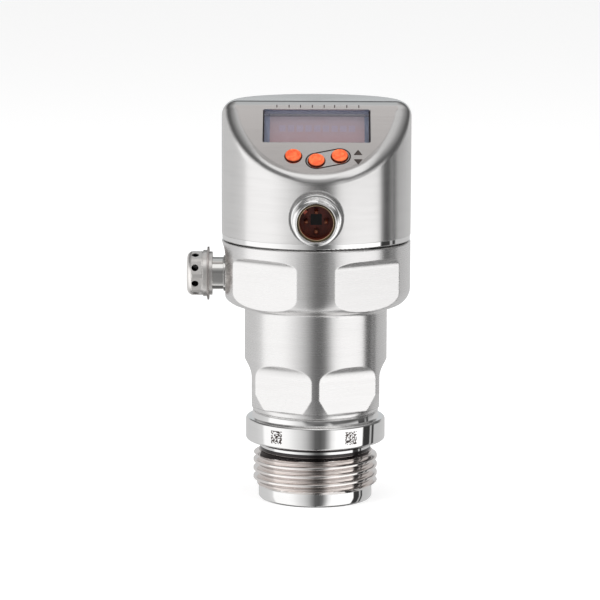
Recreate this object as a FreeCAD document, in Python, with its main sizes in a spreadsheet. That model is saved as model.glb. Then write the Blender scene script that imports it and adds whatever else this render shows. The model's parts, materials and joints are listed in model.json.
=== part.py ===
import FreeCAD, Part
import Sketcher
import math
import os

# Stainless pressure transmitter with a slanted display panel, a G1 flush process
# fitting and a swivelling head. Millimetres, +Z up, origin at the middle of the
# measuring end, the front of the panel and the plug towards -Y, the vent towards -X.

os.makedirs("parts", exist_ok=True)
doc = FreeCAD.newDocument("pressure_transmitter")

# Driving sizes

SIZES = [
    ("nose_step", 1.42, "plain end, inside the thread radius"),
    ("nose_chamfer", 0.5, "lead-in of the plain end"),
    ("thread_start", 3.5, "height where the thread begins"),
    ("thread_radius", 16.62, "G1 thread, major radius"),
    ("thread_lead_in", 1.1, "height of the cone at each end of the thread"),
    ("thread_length", 9.7, "length of the thread with both cones"),
    ("thread_pitch", 2.309, "G1 thread, 11 turns to the inch"),
    ("thread_depth", 1.4, "groove of the thread, inside the thread radius"),
    ("thread_root_width", 0.4, "flat at the root of the thread groove"),
    ("thread_angle", 55.0, "angle between the flanks of the thread, degrees"),
    ("thread_overcut", 0.15, "thread cutter, outside the thread radius"),
    ("thread_entry", 0.93, "middle of the first groove, above the face"),
    ("thread_exit", 1.1, "end of the thread cutter, above the thread"),
    ("relief_depth", 1.82, "relief groove, inside the thread radius"),
    ("relief_height", 2.8, "height of the relief groove"),
    ("flange_height", 6.1, "thickness of the flange"),
    ("flange_step", 2.03, "flange, outside the thread radius"),
    ("flange_round", 0.7, "rounding of both flange edges"),
    ("collar_step", 0.18, "collar above the flange, outside the thread radius"),
    ("collar_height", 3.4, "height of the collar"),
    ("collar_groove_rise", 1.6, "groove of the collar above the flange"),
    ("collar_groove_width", 0.3, "width of the collar groove"),
    ("collar_groove_depth", 0.35, "depth of the collar groove"),
    ("cell_wall", 2.5, "wall of the plain end round the cell"),
    ("cell_shoulder_width", 1.5, "shoulder of the cell"),
    ("cell_shoulder_rise", 3.4, "cell shoulder above the cell face"),
    ("cell_thickness", 9.0, "cell, face to back"),
    ("cell_clearance", 0.2, "radial play of the cell in its bore"),
    ("seal_thickness", 1.2, "flat seal under the cell shoulder"),
    ("clamp_height", 4.0, "ring that holds the cell down"),
    ("clamp_width", 3.2, "ring that holds the cell, inside the cell radius"),
    ("joint_spigot_wall", 1.4, "wall of the spigot of the fitting inside the neck"),
    ("joint_spigot_height", 4.0, "length of that spigot"),
    ("seat_clearance", 0.06, "radial play between fixed pieces"),
    ("neck_wall", 4.64, "wall of the turned neck"),
    ("hex_flat_depth", 2.05, "depth of a flat of the hexagon"),
    ("hex_chamfer_height", 4.1, "height of the cone on the hexagon corners"),
    ("hex_chamfer_depth", 1.1, "depth of that cone"),
    ("hex_flat_height", 8.5, "height of the hexagon flats below their run-out"),
    ("hex_runout_radius", 5.0, "radius of their run-out"),
    ("board_shelf_drop", 8.4, "shoulder for the round board, below the wide housing"),
    ("board_shelf_width", 1.16, "width of that shoulder"),
    ("neck_height", 26.9, "neck, from the collar to the wide housing"),
    ("shoulder_fillet", 1.2, "fillet between neck and underside"),
    ("shoulder_step", 6.1, "wide housing, outside the neck radius"),
    ("housing_round", 4.8, "rounding of its lower edge"),
    ("housing_height", 17.3, "height of the wide housing"),
    ("housing_rim_chamfer", 0.15, "broken edge of the rim"),
    ("grip_flat_depth", 2.26, "depth of a large spanner flat"),
    ("grip_flat_angle", 36.0, "turn of these flats from the front"),
    ("grip_flat_drop", 5.4, "run-out of these flats, below the rim"),
    ("grip_runout_radius", 2.4, "radius of their run-out"),
    ("grip_cutter_reach", 0.4, "cutter of the flats, below the wide housing"),
    ("vent_flat_depth", 1.1, "depth of the flat under the vent"),
    ("vent_flat_drop", 3.3, "run-out of that flat, below the rim"),
    ("vent_runout_radius", 5.5, "radius of its run-out"),
    ("floor_thickness", 2.0, "floor of the housing"),
    ("housing_wall", 4.5, "wall round the housing cavity"),
    ("bearing_wall", 3.8, "wall round the bore that the head turns in"),
    ("bearing_web_height", 2.2, "thickness of the bearing web"),
    ("bearing_depth", 4.3, "bearing web, below the rim"),
    ("bearing_web_width", 3.5, "width of the bearing web"),
    ("running_clearance", 0.08, "radial play of the turning head"),
    ("turning_gap", 0.3, "gap between pieces that turn against each other"),
    ("stop_width", 2.0, "width of each end stop"),
    ("stop_height", 1.2, "height of each end stop"),
    ("stop_inner_gap", 0.4, "end stop of the housing, clear of the tube"),
    ("tube_wall", 1.8, "wall of the tube under the head"),
    ("tube_reach", 3.8, "tube of the head, below the web"),
    ("clip_height", 1.2, "retaining clip"),
    ("clip_reach", 1.4, "clip, outside the tube"),
    ("clip_groove_depth", 0.7, "groove for the clip"),
    ("spigot_floor", 2.4, "floor of the bearing spigot"),
    ("spigot_wall", 1.8, "wall of the bearing spigot"),
    ("oring_radius", 0.5, "cord radius of the head seal"),
    ("oring_rise", 1.4, "head seal above the lower face of the spigot"),
    ("oring_side_play", 0.15, "play of the seal in its groove"),
    ("seam_height", 1.5, "polished ring between housing and head"),
    ("seam_inset", 0.15, "ring, inside the head's surface"),
    ("seam_round", 0.35, "rounding of the ring edges"),
    ("head_front_height", 17.0, "front of the head below the panel"),
    ("head_round", 4.0, "rounding of the top edge"),
    ("head_wall", 2.6, "wall of the head"),
    ("head_floor", 2.0, "floor ring of the head"),
    ("panel_tilt", 41.0, "panel, from level, degrees"),
    ("panel_rise", 18.3, "panel, from its foot to the top"),
    ("panel_round", 4.2, "rounding of the curved panel rim"),
    ("window_width", 28.1, "display window opening"),
    ("window_height", 12.0, "display window opening, along the slope"),
    ("window_above_buttons", 10.95, "middle of the window, above the outer buttons"),
    ("window_corner", 0.5, "corner radius of the opening"),
    ("window_recess", 0.6, "pane below the panel surface"),
    ("window_play", 0.05, "pane in its opening"),
    ("gasket_thickness", 0.4, "gasket behind the panel wall"),
    ("module_side_lap", 1.45, "display module, beyond the window at each side"),
    ("module_end_lap", 1.2, "display module, beyond the window above and below"),
    ("module_round", 0.6, "corner radius of the display module"),
    ("board_thickness", 1.4, "printed boards"),
    ("board_depth", 7.4, "front of the display board below the surface"),
    ("board_side_step", 3.5, "display board, step at each side"),
    ("board_foot_slope", 3.4, "lower edge of the display board"),
    ("board_step_gap", 1.1, "step of the display board, below the module"),
    ("board_head_lap", 0.1, "display board, beyond the module at the top"),
    ("post_radius", 1.2, "posts of the display board"),
    ("post_offset", 10.0, "posts, left and right of the middle"),
    ("post_slope", 10.3, "posts from the panel foot"),
    ("button_radius", 2.08, "orange button"),
    ("button_play", 0.22, "gap round a button"),
    ("button_pitch", 6.0, "outer buttons from the middle one"),
    ("button_slope", 8.05, "outer buttons from the panel foot"),
    ("button_drop", 1.6, "middle button below the outer ones"),
    ("button_rise", 0.8, "button above the panel surface"),
    ("button_dish", 0.25, "hollow of the button face"),
    ("button_dish_radius", 1.45, "radius of that hollow"),
    ("button_flange_radius", 2.7, "flange of a button behind the wall"),
    ("button_flange_height", 0.6, "thickness of that flange"),
    ("button_stem_radius", 1.0, "stem of a button"),
    ("button_travel", 0.5, "travel of a button"),
    ("switch_width", 4.4, "tactile switch"),
    ("switch_height", 1.4, "tactile switch body"),
    ("switch_pin_radius", 0.9, "plunger of the switch"),
    ("switch_pin_height", 0.4, "plunger of the switch"),
    ("plug_rise", 6.85, "axis of the plug above the foot of the head"),
    ("boss_step", 1.2, "boss under the plug, outside the barrel radius"),
    ("boss_rise", 1.1, "face of the boss, outside the head"),
    ("shank_step", 0.4, "shank of the plug in the wall, inside the barrel radius"),
    ("shank_depth", 5.1, "inner end of the shank, inside the head radius"),
    ("plug_collar_step", 0.5, "collar of the plug, outside the barrel radius"),
    ("plug_collar_length", 1.8, "length of the collar"),
    ("plug_radius", 6.0, "M12 barrel"),
    ("plug_length", 7.5, "barrel in front of the collar"),
    ("plug_chamfer", 0.6, "chamfer at the front"),
    ("plug_relief_depth", 0.5, "relief groove behind the plug thread"),
    ("plug_relief_width", 0.8, "width of that groove"),
    ("plug_wall", 1.1, "wall of the barrel"),
    ("insert_rim_setback", 0.8, "contact carrier behind the front"),
    ("insert_wall", 0.45, "wall of the contact carrier"),
    ("insert_depth", 7.5, "floor of the contact carrier, behind the front"),
    ("insert_tail_step", 0.7, "back part of the contact carrier, inside the bore"),
    ("insert_tail_length", 2.4, "length of that part inside the head"),
    ("key_width", 1.0, "coding key of the carrier"),
    ("key_depth", 0.8, "coding key, inwards"),
    ("key_turn", 45.0, "coding key from upright, degrees"),
    ("pin_circle_radius", 2.55, "circle of the contact pins"),
    ("pin_radius", 0.5, "contact pin"),
    ("pin_round", 0.3, "rounded tip"),
    ("pin_setback", 2.3, "tip of the pins, behind the front"),
    ("pin_tail", 1.8, "solder end of the pins, behind the carrier"),
    ("pin_play", 0.03, "pin in its hole"),
    ("main_board_y", 4.2, "front of the main board behind the axis"),
    ("main_board_inset", 4.7, "ends of the main board, inside the head radius"),
    ("main_board_headroom", 11.3, "main board, shorter than the head"),
    ("round_board_play", 0.2, "round board in the neck"),
    ("vent_rise", 8.1, "axis of the vent above the underside of the housing"),
    ("vent_shank_radius", 3.4, "shank of the vent in the wall"),
    ("vent_shank_length", 3.0, "length of that shank"),
    ("vent_base_radius", 4.8, "base ring of the vent"),
    ("vent_base_height", 0.6, "base ring of the vent"),
    ("vent_neck_radius", 4.3, "neck of the vent"),
    ("vent_neck_length", 3.6, "neck of the vent, outside its flat"),
    ("vent_bore_radius", 1.5, "bore of the vent"),
    ("vent_spigot_radius", 2.75, "spigot under the cap"),
    ("vent_spigot_length", 2.7, "length of that spigot"),
    ("vent_gasket_radius", 5.8, "ring between neck and disc"),
    ("vent_gasket_height", 0.85, "thickness of that ring"),
    ("vent_disc_radius", 7.1, "thin disc"),
    ("vent_disc_height", 0.45, "thin disc"),
    ("membrane_thickness", 0.3, "membrane on the spigot"),
    ("cap_flange_radius", 6.2, "flange of the cap"),
    ("cap_flange_height", 1.1, "flange of the cap"),
    ("cap_radius", 5.85, "cap"),
    ("cap_height", 5.4, "cap with its flange"),
    ("cap_round", 1.6, "rounded end of the cap"),
    ("cap_bore_radius", 4.0, "inside of the cap"),
    ("cap_roof", 1.0, "end wall of the cap"),
    ("cap_flat_depth", 0.3, "depth of one of the eight flats"),
    ("cap_flat_start", 1.5, "flats, from the foot of the cap"),
    ("cap_flat_length", 2.6, "length of the flats"),
    ("cap_hole_radius", 0.92, "breathing holes"),
    ("cap_hole_rise", 3.15, "breathing holes, from the foot of the cap"),
]

sheet = doc.addObject("Spreadsheet::Sheet", "dims")
for row, (alias, number, note) in enumerate(SIZES, start=1):
    sheet.set("A%d" % row, alias)
    sheet.set("B%d" % row, str(number))
    sheet.set("C%d" % row, note)
    sheet.setAlias("B%d" % row, alias)
doc.recompute()


class Size:
    """A length or an angle: its number and the expression that gives it."""

    def __init__(self, number, text):
        self.number = float(number)
        self.text = text

    def __add__(self, other):
        other = size(other)
        return Size(self.number + other.number, "(%s + %s)" % (self.text, other.text))

    def __sub__(self, other):
        other = size(other)
        return Size(self.number - other.number, "(%s - %s)" % (self.text, other.text))

    def __mul__(self, other):
        other = size(other)
        return Size(self.number * other.number, "(%s * %s)" % (self.text, other.text))

    def __truediv__(self, other):
        other = size(other)
        return Size(self.number / other.number, "(%s / %s)" % (self.text, other.text))

    def __neg__(self):
        return Size(-self.number, "(0 - %s)" % self.text)

    def sin(self):
        return Size(math.sin(math.radians(self.number)), "sin(%s * 1 deg)" % self.text)

    def cos(self):
        return Size(math.cos(math.radians(self.number)), "cos(%s * 1 deg)" % self.text)

    def tan(self):
        return Size(math.tan(math.radians(self.number)), "tan(%s * 1 deg)" % self.text)


def size(value):
    if isinstance(value, Size):
        return value
    return Size(value, repr(float(value)))


class Dims:
    """Every named size of the sheet as an attribute."""


dims = Dims()
for alias, number, note in SIZES:
    setattr(dims, alias, Size(sheet.get(alias), "dims." + alias))

# Sizes that follow from the named ones: the fitting and the neck from the thread,
# the housing from the neck, the head from the housing, the plug from its barrel

dims.nose_radius = dims.thread_radius - dims.nose_step
dims.relief_radius = dims.thread_radius - dims.relief_depth
dims.flange_radius = dims.thread_radius + dims.flange_step
dims.collar_radius = dims.thread_radius + dims.collar_step
dims.cell_radius = dims.nose_radius - dims.cell_wall
dims.cell_face_radius = dims.cell_radius - dims.cell_shoulder_width
dims.clamp_inner_radius = dims.cell_radius - dims.clamp_width
dims.joint_spigot_radius = dims.cell_radius + dims.cell_clearance + dims.joint_spigot_wall
dims.neck_bore_radius = dims.joint_spigot_radius + dims.seat_clearance
dims.neck_radius = dims.neck_bore_radius + dims.neck_wall
dims.neck_upper_bore_radius = dims.neck_bore_radius - dims.board_shelf_width
dims.hex_flat_distance = dims.neck_radius - dims.hex_flat_depth
dims.housing_radius = dims.neck_radius + dims.shoulder_step
dims.grip_flat_distance = dims.housing_radius - dims.grip_flat_depth
dims.vent_flat_distance = dims.housing_radius - dims.vent_flat_depth
dims.cavity_radius = dims.housing_radius - dims.housing_wall
dims.bearing_radius = dims.housing_radius - dims.bearing_wall
dims.bearing_web_radius = dims.bearing_radius - dims.bearing_web_width
dims.head_radius = dims.housing_radius
dims.thread_end = dims.thread_start + dims.thread_length
dims.flange_bottom = dims.thread_end + dims.relief_height
dims.thread_root = dims.thread_radius - dims.thread_depth
dims.thread_cut_height = dims.thread_end + dims.thread_exit - dims.thread_entry
flange_top = dims.flange_bottom + dims.flange_height
collar_top = flange_top + dims.collar_height
dims.hex_flat_top = collar_top + dims.hex_flat_height
dims.shoulder_z = collar_top + dims.neck_height
dims.board_shelf_z = dims.shoulder_z - dims.board_shelf_drop
dims.floor_z = dims.shoulder_z + dims.floor_thickness
dims.vent_z = dims.shoulder_z + dims.vent_rise
dims.housing_top = dims.shoulder_z + dims.housing_height
dims.grip_flat_top = dims.housing_top - dims.grip_flat_drop
dims.grip_flat_bottom = dims.shoulder_z - dims.grip_cutter_reach
dims.vent_flat_top = dims.housing_top - dims.vent_flat_drop
dims.bearing_web_top = dims.housing_top - dims.bearing_depth
dims.bearing_web_bottom = dims.bearing_web_top - dims.bearing_web_height
dims.tube_bottom = dims.bearing_web_bottom - dims.tube_reach
dims.spigot_bottom = dims.bearing_web_top + dims.stop_height + dims.turning_gap * 2
dims.oring_z = dims.spigot_bottom + dims.oring_rise
head_base = dims.housing_top + dims.turning_gap + dims.seam_height
dims.panel_foot_z = head_base + dims.head_front_height
dims.head_top = dims.panel_foot_z + dims.panel_rise
dims.window_slope = dims.button_slope + dims.window_above_buttons
dims.module_width = dims.window_width + dims.module_side_lap * 2
dims.module_height = dims.window_height + dims.module_end_lap * 2
dims.board_width = dims.module_width
dims.board_foot_width = dims.board_width - dims.board_side_step * 2
module_reach = dims.module_height / 2
dims.board_step_slope = dims.window_slope - module_reach - dims.board_step_gap
dims.board_head_slope = dims.window_slope + module_reach + dims.board_head_lap
dims.connector_z = head_base + dims.plug_rise
dims.boss_radius = dims.plug_radius + dims.boss_step
dims.shank_radius = dims.plug_radius - dims.shank_step
dims.plug_collar_radius = dims.plug_radius + dims.plug_collar_step
dims.plug_bore_radius = dims.plug_radius - dims.plug_wall
dims.insert_tail_radius = dims.plug_bore_radius - dims.insert_tail_step
dims.boss_reach = dims.head_radius + dims.boss_rise
dims.shank_back = dims.head_radius - dims.shank_depth
dims.plug_collar_end = dims.boss_reach + dims.plug_collar_length
dims.plug_front = dims.plug_collar_end + dims.plug_length
dims.insert_floor = dims.plug_front - dims.insert_depth
dims.insert_back = dims.shank_back - dims.insert_tail_length
dims.pin_tip = dims.plug_front - dims.pin_setback
dims.pin_back = dims.insert_back - dims.pin_tail
dims.main_board_half_width = dims.head_radius - dims.main_board_inset
dims.main_board_height = dims.head_top - head_base - dims.main_board_headroom
dims.vent_neck_end = dims.vent_flat_distance + dims.vent_neck_length
dims.cap_flat_distance = dims.cap_radius - dims.cap_flat_depth

ZERO = size(0)


# Modelling helpers

def bind(obj, path, value):
    value = size(value)
    obj.setExpression(path, value.text)


def place(obj, x=ZERO, y=ZERO, z=ZERO, axis=(0, 0, 1), turn=ZERO):
    """Puts an object at x, y, z, turned about one axis, all driven by sizes."""
    x, y, z, turn = size(x), size(y), size(z), size(turn)
    obj.Placement = FreeCAD.Placement(
        FreeCAD.Vector(x.number, y.number, z.number),
        FreeCAD.Rotation(FreeCAD.Vector(*axis), turn.number))
    bind(obj, "Placement.Base.x", x)
    bind(obj, "Placement.Base.y", y)
    bind(obj, "Placement.Base.z", z)
    bind(obj, "Placement.Rotation.Angle", turn)
    return obj


def plane(body, role):
    for feature in body.Origin.OriginFeatures:
        if feature.Role == role:
            return feature
    raise RuntimeError("no " + role)


def new_sketch(body, role, name, turn=None):
    """A sketch on an origin plane, turned about its upright axis where asked."""
    sketch = body.newObject("Sketcher::SketchObject", name)
    sketch.AttachmentSupport = [(plane(body, role), "")]
    sketch.MapMode = "FlatFace"
    if turn is not None:
        sketch.AttachmentOffset = FreeCAD.Placement(
            FreeCAD.Vector(), FreeCAD.Rotation(FreeCAD.Vector(0, 1, 0), turn.number))
        bind(sketch, "AttachmentOffset.Rotation.Angle", turn)
    return sketch


def pin_point(sketch, item, end, x, y, label):
    """Holds one point of a sketch at x, y from the sketch's origin."""
    for kind, value, tail in (("DistanceX", x, "x"), ("DistanceY", y, "y")):
        index = sketch.addConstraint(
            Sketcher.Constraint(kind, -1, 1, item, end, value.number))
        sketch.renameConstraint(index, label + tail)
        sketch.setExpression("Constraints." + label + tail, value.text)


def outline(sketch, corners):
    """A closed outline through corners given as pairs of sizes."""
    corners = [(size(x), size(y)) for x, y in corners]
    count = len(corners)
    for index in range(count):
        ax, ay = corners[index]
        bx, by = corners[(index + 1) % count]
        sketch.addGeometry(Part.LineSegment(
            FreeCAD.Vector(ax.number, ay.number, 0),
            FreeCAD.Vector(bx.number, by.number, 0)))
    for index in range(count):
        sketch.addConstraint(
            Sketcher.Constraint("Coincident", index, 2, (index + 1) % count, 1))
    for index, (x, y) in enumerate(corners):
        pin_point(sketch, index, 1, x, y, "p%d" % index)


def runout_outline(sketch, distance, bottom, top, radius, reach):
    """A cutter that leaves a flat and runs out upwards along a quarter arc."""
    left = distance.number
    middle = (distance + radius).number
    right = reach.number
    low = bottom.number
    start = top.number
    high = (top + radius).number
    sketch.addGeometry(Part.LineSegment(
        FreeCAD.Vector(right, low, 0), FreeCAD.Vector(left, low, 0)))
    sketch.addGeometry(Part.LineSegment(
        FreeCAD.Vector(left, low, 0), FreeCAD.Vector(left, start, 0)))
    sketch.addGeometry(Part.ArcOfCircle(
        Part.Circle(FreeCAD.Vector(middle, start, 0), FreeCAD.Vector(0, 0, 1),
                    radius.number), math.pi / 2, math.pi))
    sketch.addGeometry(Part.LineSegment(
        FreeCAD.Vector(middle, high, 0), FreeCAD.Vector(right, high, 0)))
    sketch.addGeometry(Part.LineSegment(
        FreeCAD.Vector(right, high, 0), FreeCAD.Vector(right, low, 0)))
    sketch.addConstraint(Sketcher.Constraint("Coincident", 0, 2, 1, 1))
    sketch.addConstraint(Sketcher.Constraint("Coincident", 3, 2, 4, 1))
    sketch.addConstraint(Sketcher.Constraint("Coincident", 4, 2, 0, 1))
    pin_point(sketch, 1, 1, distance, bottom, "a")
    pin_point(sketch, 4, 1, reach, top + radius, "b")
    pin_point(sketch, 4, 2, reach, bottom, "c")
    pin_point(sketch, 2, 3, distance + radius, top, "d")
    pin_point(sketch, 2, 2, distance, top, "e")
    sketch.addConstraint(Sketcher.Constraint("Coincident", 1, 2, 2, 2))
    sketch.addConstraint(Sketcher.Constraint("Coincident", 2, 1, 3, 1))
    sketch.addConstraint(Sketcher.Constraint("Vertical", 2, 1, 2, 3))


def new_body(name):
    body = doc.addObject("PartDesign::Body", name)
    body.Label = name
    return body


def revolve(body, corners, name="profile"):
    """Turns an outline in the XZ plane about the upright axis."""
    sketch = new_sketch(body, "XZ_Plane", name)
    outline(sketch, corners)
    feature = body.newObject("PartDesign::Revolution", name + "_turned")
    feature.Profile = (sketch, [""])
    feature.ReferenceAxis = (sketch, ["V_Axis"])
    feature.Angle = 360
    doc.recompute()
    return feature


def pocket(body, sketch, depth, name):
    """Cuts a sketch through the body, half the depth to each side."""
    before = body.Shape.Volume
    feature = body.newObject("PartDesign::Pocket", name)
    feature.Profile = (sketch, [""])
    feature.Type = "Length"
    feature.SideType = "Symmetric"
    bind(feature, "Length", depth)
    doc.recompute()
    if not body.Shape.Volume < before:
        raise RuntimeError(name + " cuts nothing")
    return feature


def polar(body, originals, count, angle, name):
    before = body.Shape.Volume
    feature = body.newObject("PartDesign::PolarPattern", name)
    feature.Originals = originals
    feature.Axis = (plane(body, "Z_Axis"), [""])
    feature.Angle = angle
    feature.Occurrences = count
    body.Tip = feature
    doc.recompute()
    if not body.Shape.Volume < before:
        raise RuntimeError(name + " repeats nothing")
    return feature


def screw_groove(body, corners, pitch, height, name):
    """Cuts a right-handed groove whose outline is wound about the upright axis."""
    before = body.Shape.Volume
    sketch = new_sketch(body, "XZ_Plane", name + "_outline")
    outline(sketch, corners)
    feature = body.newObject("PartDesign::SubtractiveHelix", name)
    feature.Profile = (sketch, [""])
    feature.ReferenceAxis = (sketch, ["V_Axis"])
    feature.Mode = "pitch-height-angle"
    bind(feature, "Pitch", pitch)
    bind(feature, "Height", height)
    doc.recompute()
    if not body.Shape.Volume < before:
        raise RuntimeError(name + " cuts nothing")
    return feature


def round_edges(body, radius, wanted, name):
    """Rounds the edges of the body's last feature that the test picks."""
    base = body.Tip
    names = ["Edge%d" % (index + 1)
             for index, edge in enumerate(base.Shape.Edges) if wanted(edge)]
    if not names:
        raise RuntimeError(name + " finds no edge")
    feature = body.newObject("PartDesign::Fillet", name)
    feature.Base = (base, names)
    bind(feature, "Radius", radius)
    doc.recompute()
    return feature


def rim(radius, height):
    """Picks the circles of one radius and height about the upright axis."""
    def wanted(edge):
        curve = edge.Curve
        return (isinstance(curve, Part.Circle)
                and abs(curve.Radius - radius.number) < 1e-4
                and abs(curve.Center.z - height.number) < 1e-4)
    return wanted


def tube(name, outer, inner, low, high):
    """A plain ring about the upright axis."""
    body = new_body(name)
    revolve(body, [(inner, low), (outer, low), (outer, high), (inner, high)])
    return body


def cylinder(name, radius, length):
    item = doc.addObject("Part::Cylinder", name)
    bind(item, "Radius", radius)
    bind(item, "Height", length)
    return item


def block(name, length, width, height):
    item = doc.addObject("Part::Box", name)
    bind(item, "Length", length)
    bind(item, "Width", width)
    bind(item, "Height", height)
    return item


def cut(name, base, tools):
    """Takes the tools out of the base."""
    if len(tools) == 1:
        tool = tools[0]
    else:
        tool = doc.addObject("Part::MultiFuse", name + "_tools")
        tool.Shapes = tools
    item = doc.addObject("Part::Cut", name)
    item.Base = base
    item.Tool = tool
    item.Label = name
    return item


def fuse(name, items):
    item = doc.addObject("Part::MultiFuse", name)
    item.Shapes = items
    item.Label = name
    return item


def group(name, items):
    item = doc.addObject("Part::Compound", name)
    item.Links = items
    item.Label = name
    return item


# Frames of the slanted panel, the plug and the vent

def on_panel(obj):
    """Local x across the panel, y up the slope from its foot, z out of the panel."""
    return place(obj, ZERO, -dims.head_radius, dims.panel_foot_z,
                 (1, 0, 0), dims.panel_tilt)


def at_panel(obj, across, slope, out):
    """Puts an object's own origin at a point of the panel frame."""
    tilt = dims.panel_tilt
    y = slope * tilt.cos() - out * tilt.sin() - dims.head_radius
    z = slope * tilt.sin() + out * tilt.cos() + dims.panel_foot_z
    return place(obj, across, y, z, (1, 0, 0), tilt)


def on_plug(obj):
    """Local z along the plug, outwards from the main axis, local y up."""
    return place(obj, ZERO, ZERO, dims.connector_z, (1, 0, 0), size(90))


def on_vent(obj):
    """Local z along the vent, outwards from the main axis, local x up."""
    return place(obj, ZERO, ZERO, dims.vent_z, (0, 1, 0), size(-90))


nodes = []


def keep(obj):
    nodes.append(obj)
    return obj


# Process fitting

groove_low = flange_top + dims.collar_groove_rise
groove_high = groove_low + dims.collar_groove_width
groove_radius = dims.collar_radius - dims.collar_groove_depth
cell_bore = dims.cell_radius + dims.cell_clearance
face_bore = dims.cell_face_radius + dims.cell_clearance
lip_top = dims.cell_shoulder_rise - dims.seal_thickness
spigot_top = collar_top + dims.joint_spigot_height

fitting = new_body("process_fitting")
revolve(fitting, [
    (face_bore, ZERO),
    (dims.nose_radius - dims.nose_chamfer, ZERO),
    (dims.nose_radius, dims.nose_chamfer),
    (dims.nose_radius, dims.thread_start),
    (dims.thread_radius, dims.thread_start + dims.thread_lead_in),
    (dims.thread_radius, dims.thread_end - dims.thread_lead_in),
    (dims.relief_radius, dims.thread_end),
    (dims.relief_radius, dims.flange_bottom),
    (dims.flange_radius, dims.flange_bottom),
    (dims.flange_radius, flange_top),
    (dims.collar_radius, flange_top),
    (dims.collar_radius, groove_low),
    (groove_radius, groove_low),
    (groove_radius, groove_high),
    (dims.collar_radius, groove_high),
    (dims.collar_radius, collar_top),
    (dims.joint_spigot_radius, collar_top),
    (dims.joint_spigot_radius, spigot_top),
    (cell_bore, spigot_top),
    (cell_bore, lip_top),
    (face_bore, lip_top),
])
round_edges(fitting, dims.flange_round, rim(dims.flange_radius, flange_top), "flange_upper_round")
round_edges(fitting, dims.flange_round, rim(dims.flange_radius, dims.flange_bottom),
            "flange_lower_round")
thread_out = dims.thread_radius + dims.thread_overcut
root_half = dims.thread_root_width / 2
out_half = root_half + (thread_out - dims.thread_root) * (dims.thread_angle / 2).tan()
screw_groove(fitting, [
    (dims.thread_root, dims.thread_entry - root_half),
    (thread_out, dims.thread_entry - out_half),
    (thread_out, dims.thread_entry + out_half),
    (dims.thread_root, dims.thread_entry + root_half),
], dims.thread_pitch, dims.thread_cut_height, "process_thread")
keep(fitting)

# Measuring cell, its flat seal and the ring that holds it down

cell = new_body("measuring_cell")
revolve(cell, [
    (ZERO, ZERO),
    (dims.cell_face_radius, ZERO),
    (dims.cell_face_radius, dims.cell_shoulder_rise),
    (dims.cell_radius, dims.cell_shoulder_rise),
    (dims.cell_radius, dims.cell_thickness),
    (ZERO, dims.cell_thickness),
])
keep(cell)
keep(tube("cell_seal", dims.cell_radius, dims.cell_face_radius + dims.seat_clearance,
          lip_top, dims.cell_shoulder_rise))
clamp = new_body("cell_clamp_ring")
revolve(clamp, [
    (dims.clamp_inner_radius, dims.cell_thickness),
    (cell_bore - dims.seat_clearance, dims.cell_thickness),
    (cell_bore - dims.seat_clearance, dims.cell_thickness + dims.clamp_height),
    (dims.clamp_inner_radius, dims.cell_thickness + dims.clamp_height),
])
keep(clamp)

# Housing with the hexagon neck

housing = new_body("housing_turned")
revolve(housing, [
    (dims.neck_bore_radius, collar_top),
    (dims.neck_radius - dims.hex_chamfer_depth, collar_top),
    (dims.neck_radius, collar_top + dims.hex_chamfer_height),
    (dims.neck_radius, dims.shoulder_z),
    (dims.housing_radius, dims.shoulder_z),
    (dims.housing_radius, dims.housing_top - dims.housing_rim_chamfer),
    (dims.housing_radius - dims.housing_rim_chamfer, dims.housing_top),
    (dims.bearing_radius, dims.housing_top),
    (dims.bearing_radius, dims.bearing_web_top),
    (dims.bearing_web_radius, dims.bearing_web_top),
    (dims.bearing_web_radius, dims.bearing_web_bottom),
    (dims.cavity_radius, dims.bearing_web_bottom),
    (dims.cavity_radius, dims.floor_z),
    (dims.neck_upper_bore_radius, dims.floor_z),
    (dims.neck_upper_bore_radius, dims.board_shelf_z),
    (dims.neck_bore_radius, dims.board_shelf_z),
])
round_edges(housing, dims.housing_round, rim(dims.housing_radius, dims.shoulder_z),
            "housing_lower_round")
round_edges(housing, dims.shoulder_fillet, rim(dims.neck_radius, dims.shoulder_z),
            "shoulder_fillet")

beyond_housing = dims.housing_radius + dims.grip_runout_radius
hex_sketch = new_sketch(housing, "XZ_Plane", "hex_cutter", ZERO)
runout_outline(hex_sketch, dims.hex_flat_distance, collar_top - dims.flange_height,
               dims.hex_flat_top, dims.hex_runout_radius,
               dims.neck_radius + dims.hex_runout_radius)
hex_pocket = pocket(housing, hex_sketch, dims.neck_radius * 1.2, "hex_flat")
polar(housing, [hex_pocket], 6, 360, "hex_flats")

for side, sign in (("right", 1), ("left", -1)):
    turn = (size(90) - dims.grip_flat_angle) * sign
    sketch = new_sketch(housing, "XZ_Plane", "grip_cutter_" + side, turn)
    runout_outline(sketch, dims.grip_flat_distance, dims.grip_flat_bottom,
                   dims.grip_flat_top, dims.grip_runout_radius, beyond_housing)
    flat = pocket(housing, sketch, dims.housing_radius * 1.2, "grip_flat_" + side)
    polar(housing, [flat], 2, 360, "grip_flats_" + side)

vent_sketch = new_sketch(housing, "XZ_Plane", "vent_cutter", size(180))
runout_outline(vent_sketch, dims.vent_flat_distance, dims.grip_flat_bottom,
               dims.vent_flat_top, dims.vent_runout_radius,
               dims.vent_flat_distance + dims.vent_runout_radius * 1.1)
pocket(housing, vent_sketch, dims.housing_radius, "vent_flat")

vent_hole = cylinder("vent_hole", dims.vent_shank_radius + dims.seat_clearance,
                     dims.housing_radius)
on_vent(vent_hole)
housing_bored = cut("housing_bored", housing, [vent_hole])
housing_stop = block("housing_stop", dims.stop_width,
                     dims.bearing_radius - dims.bearing_web_radius - dims.stop_inner_gap,
                     dims.stop_height + dims.turning_gap)
place(housing_stop, dims.stop_width * -0.5, dims.bearing_web_radius + dims.stop_inner_gap,
      dims.bearing_web_top - dims.turning_gap)
keep(fuse("housing_body", [housing_bored, housing_stop]))

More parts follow.
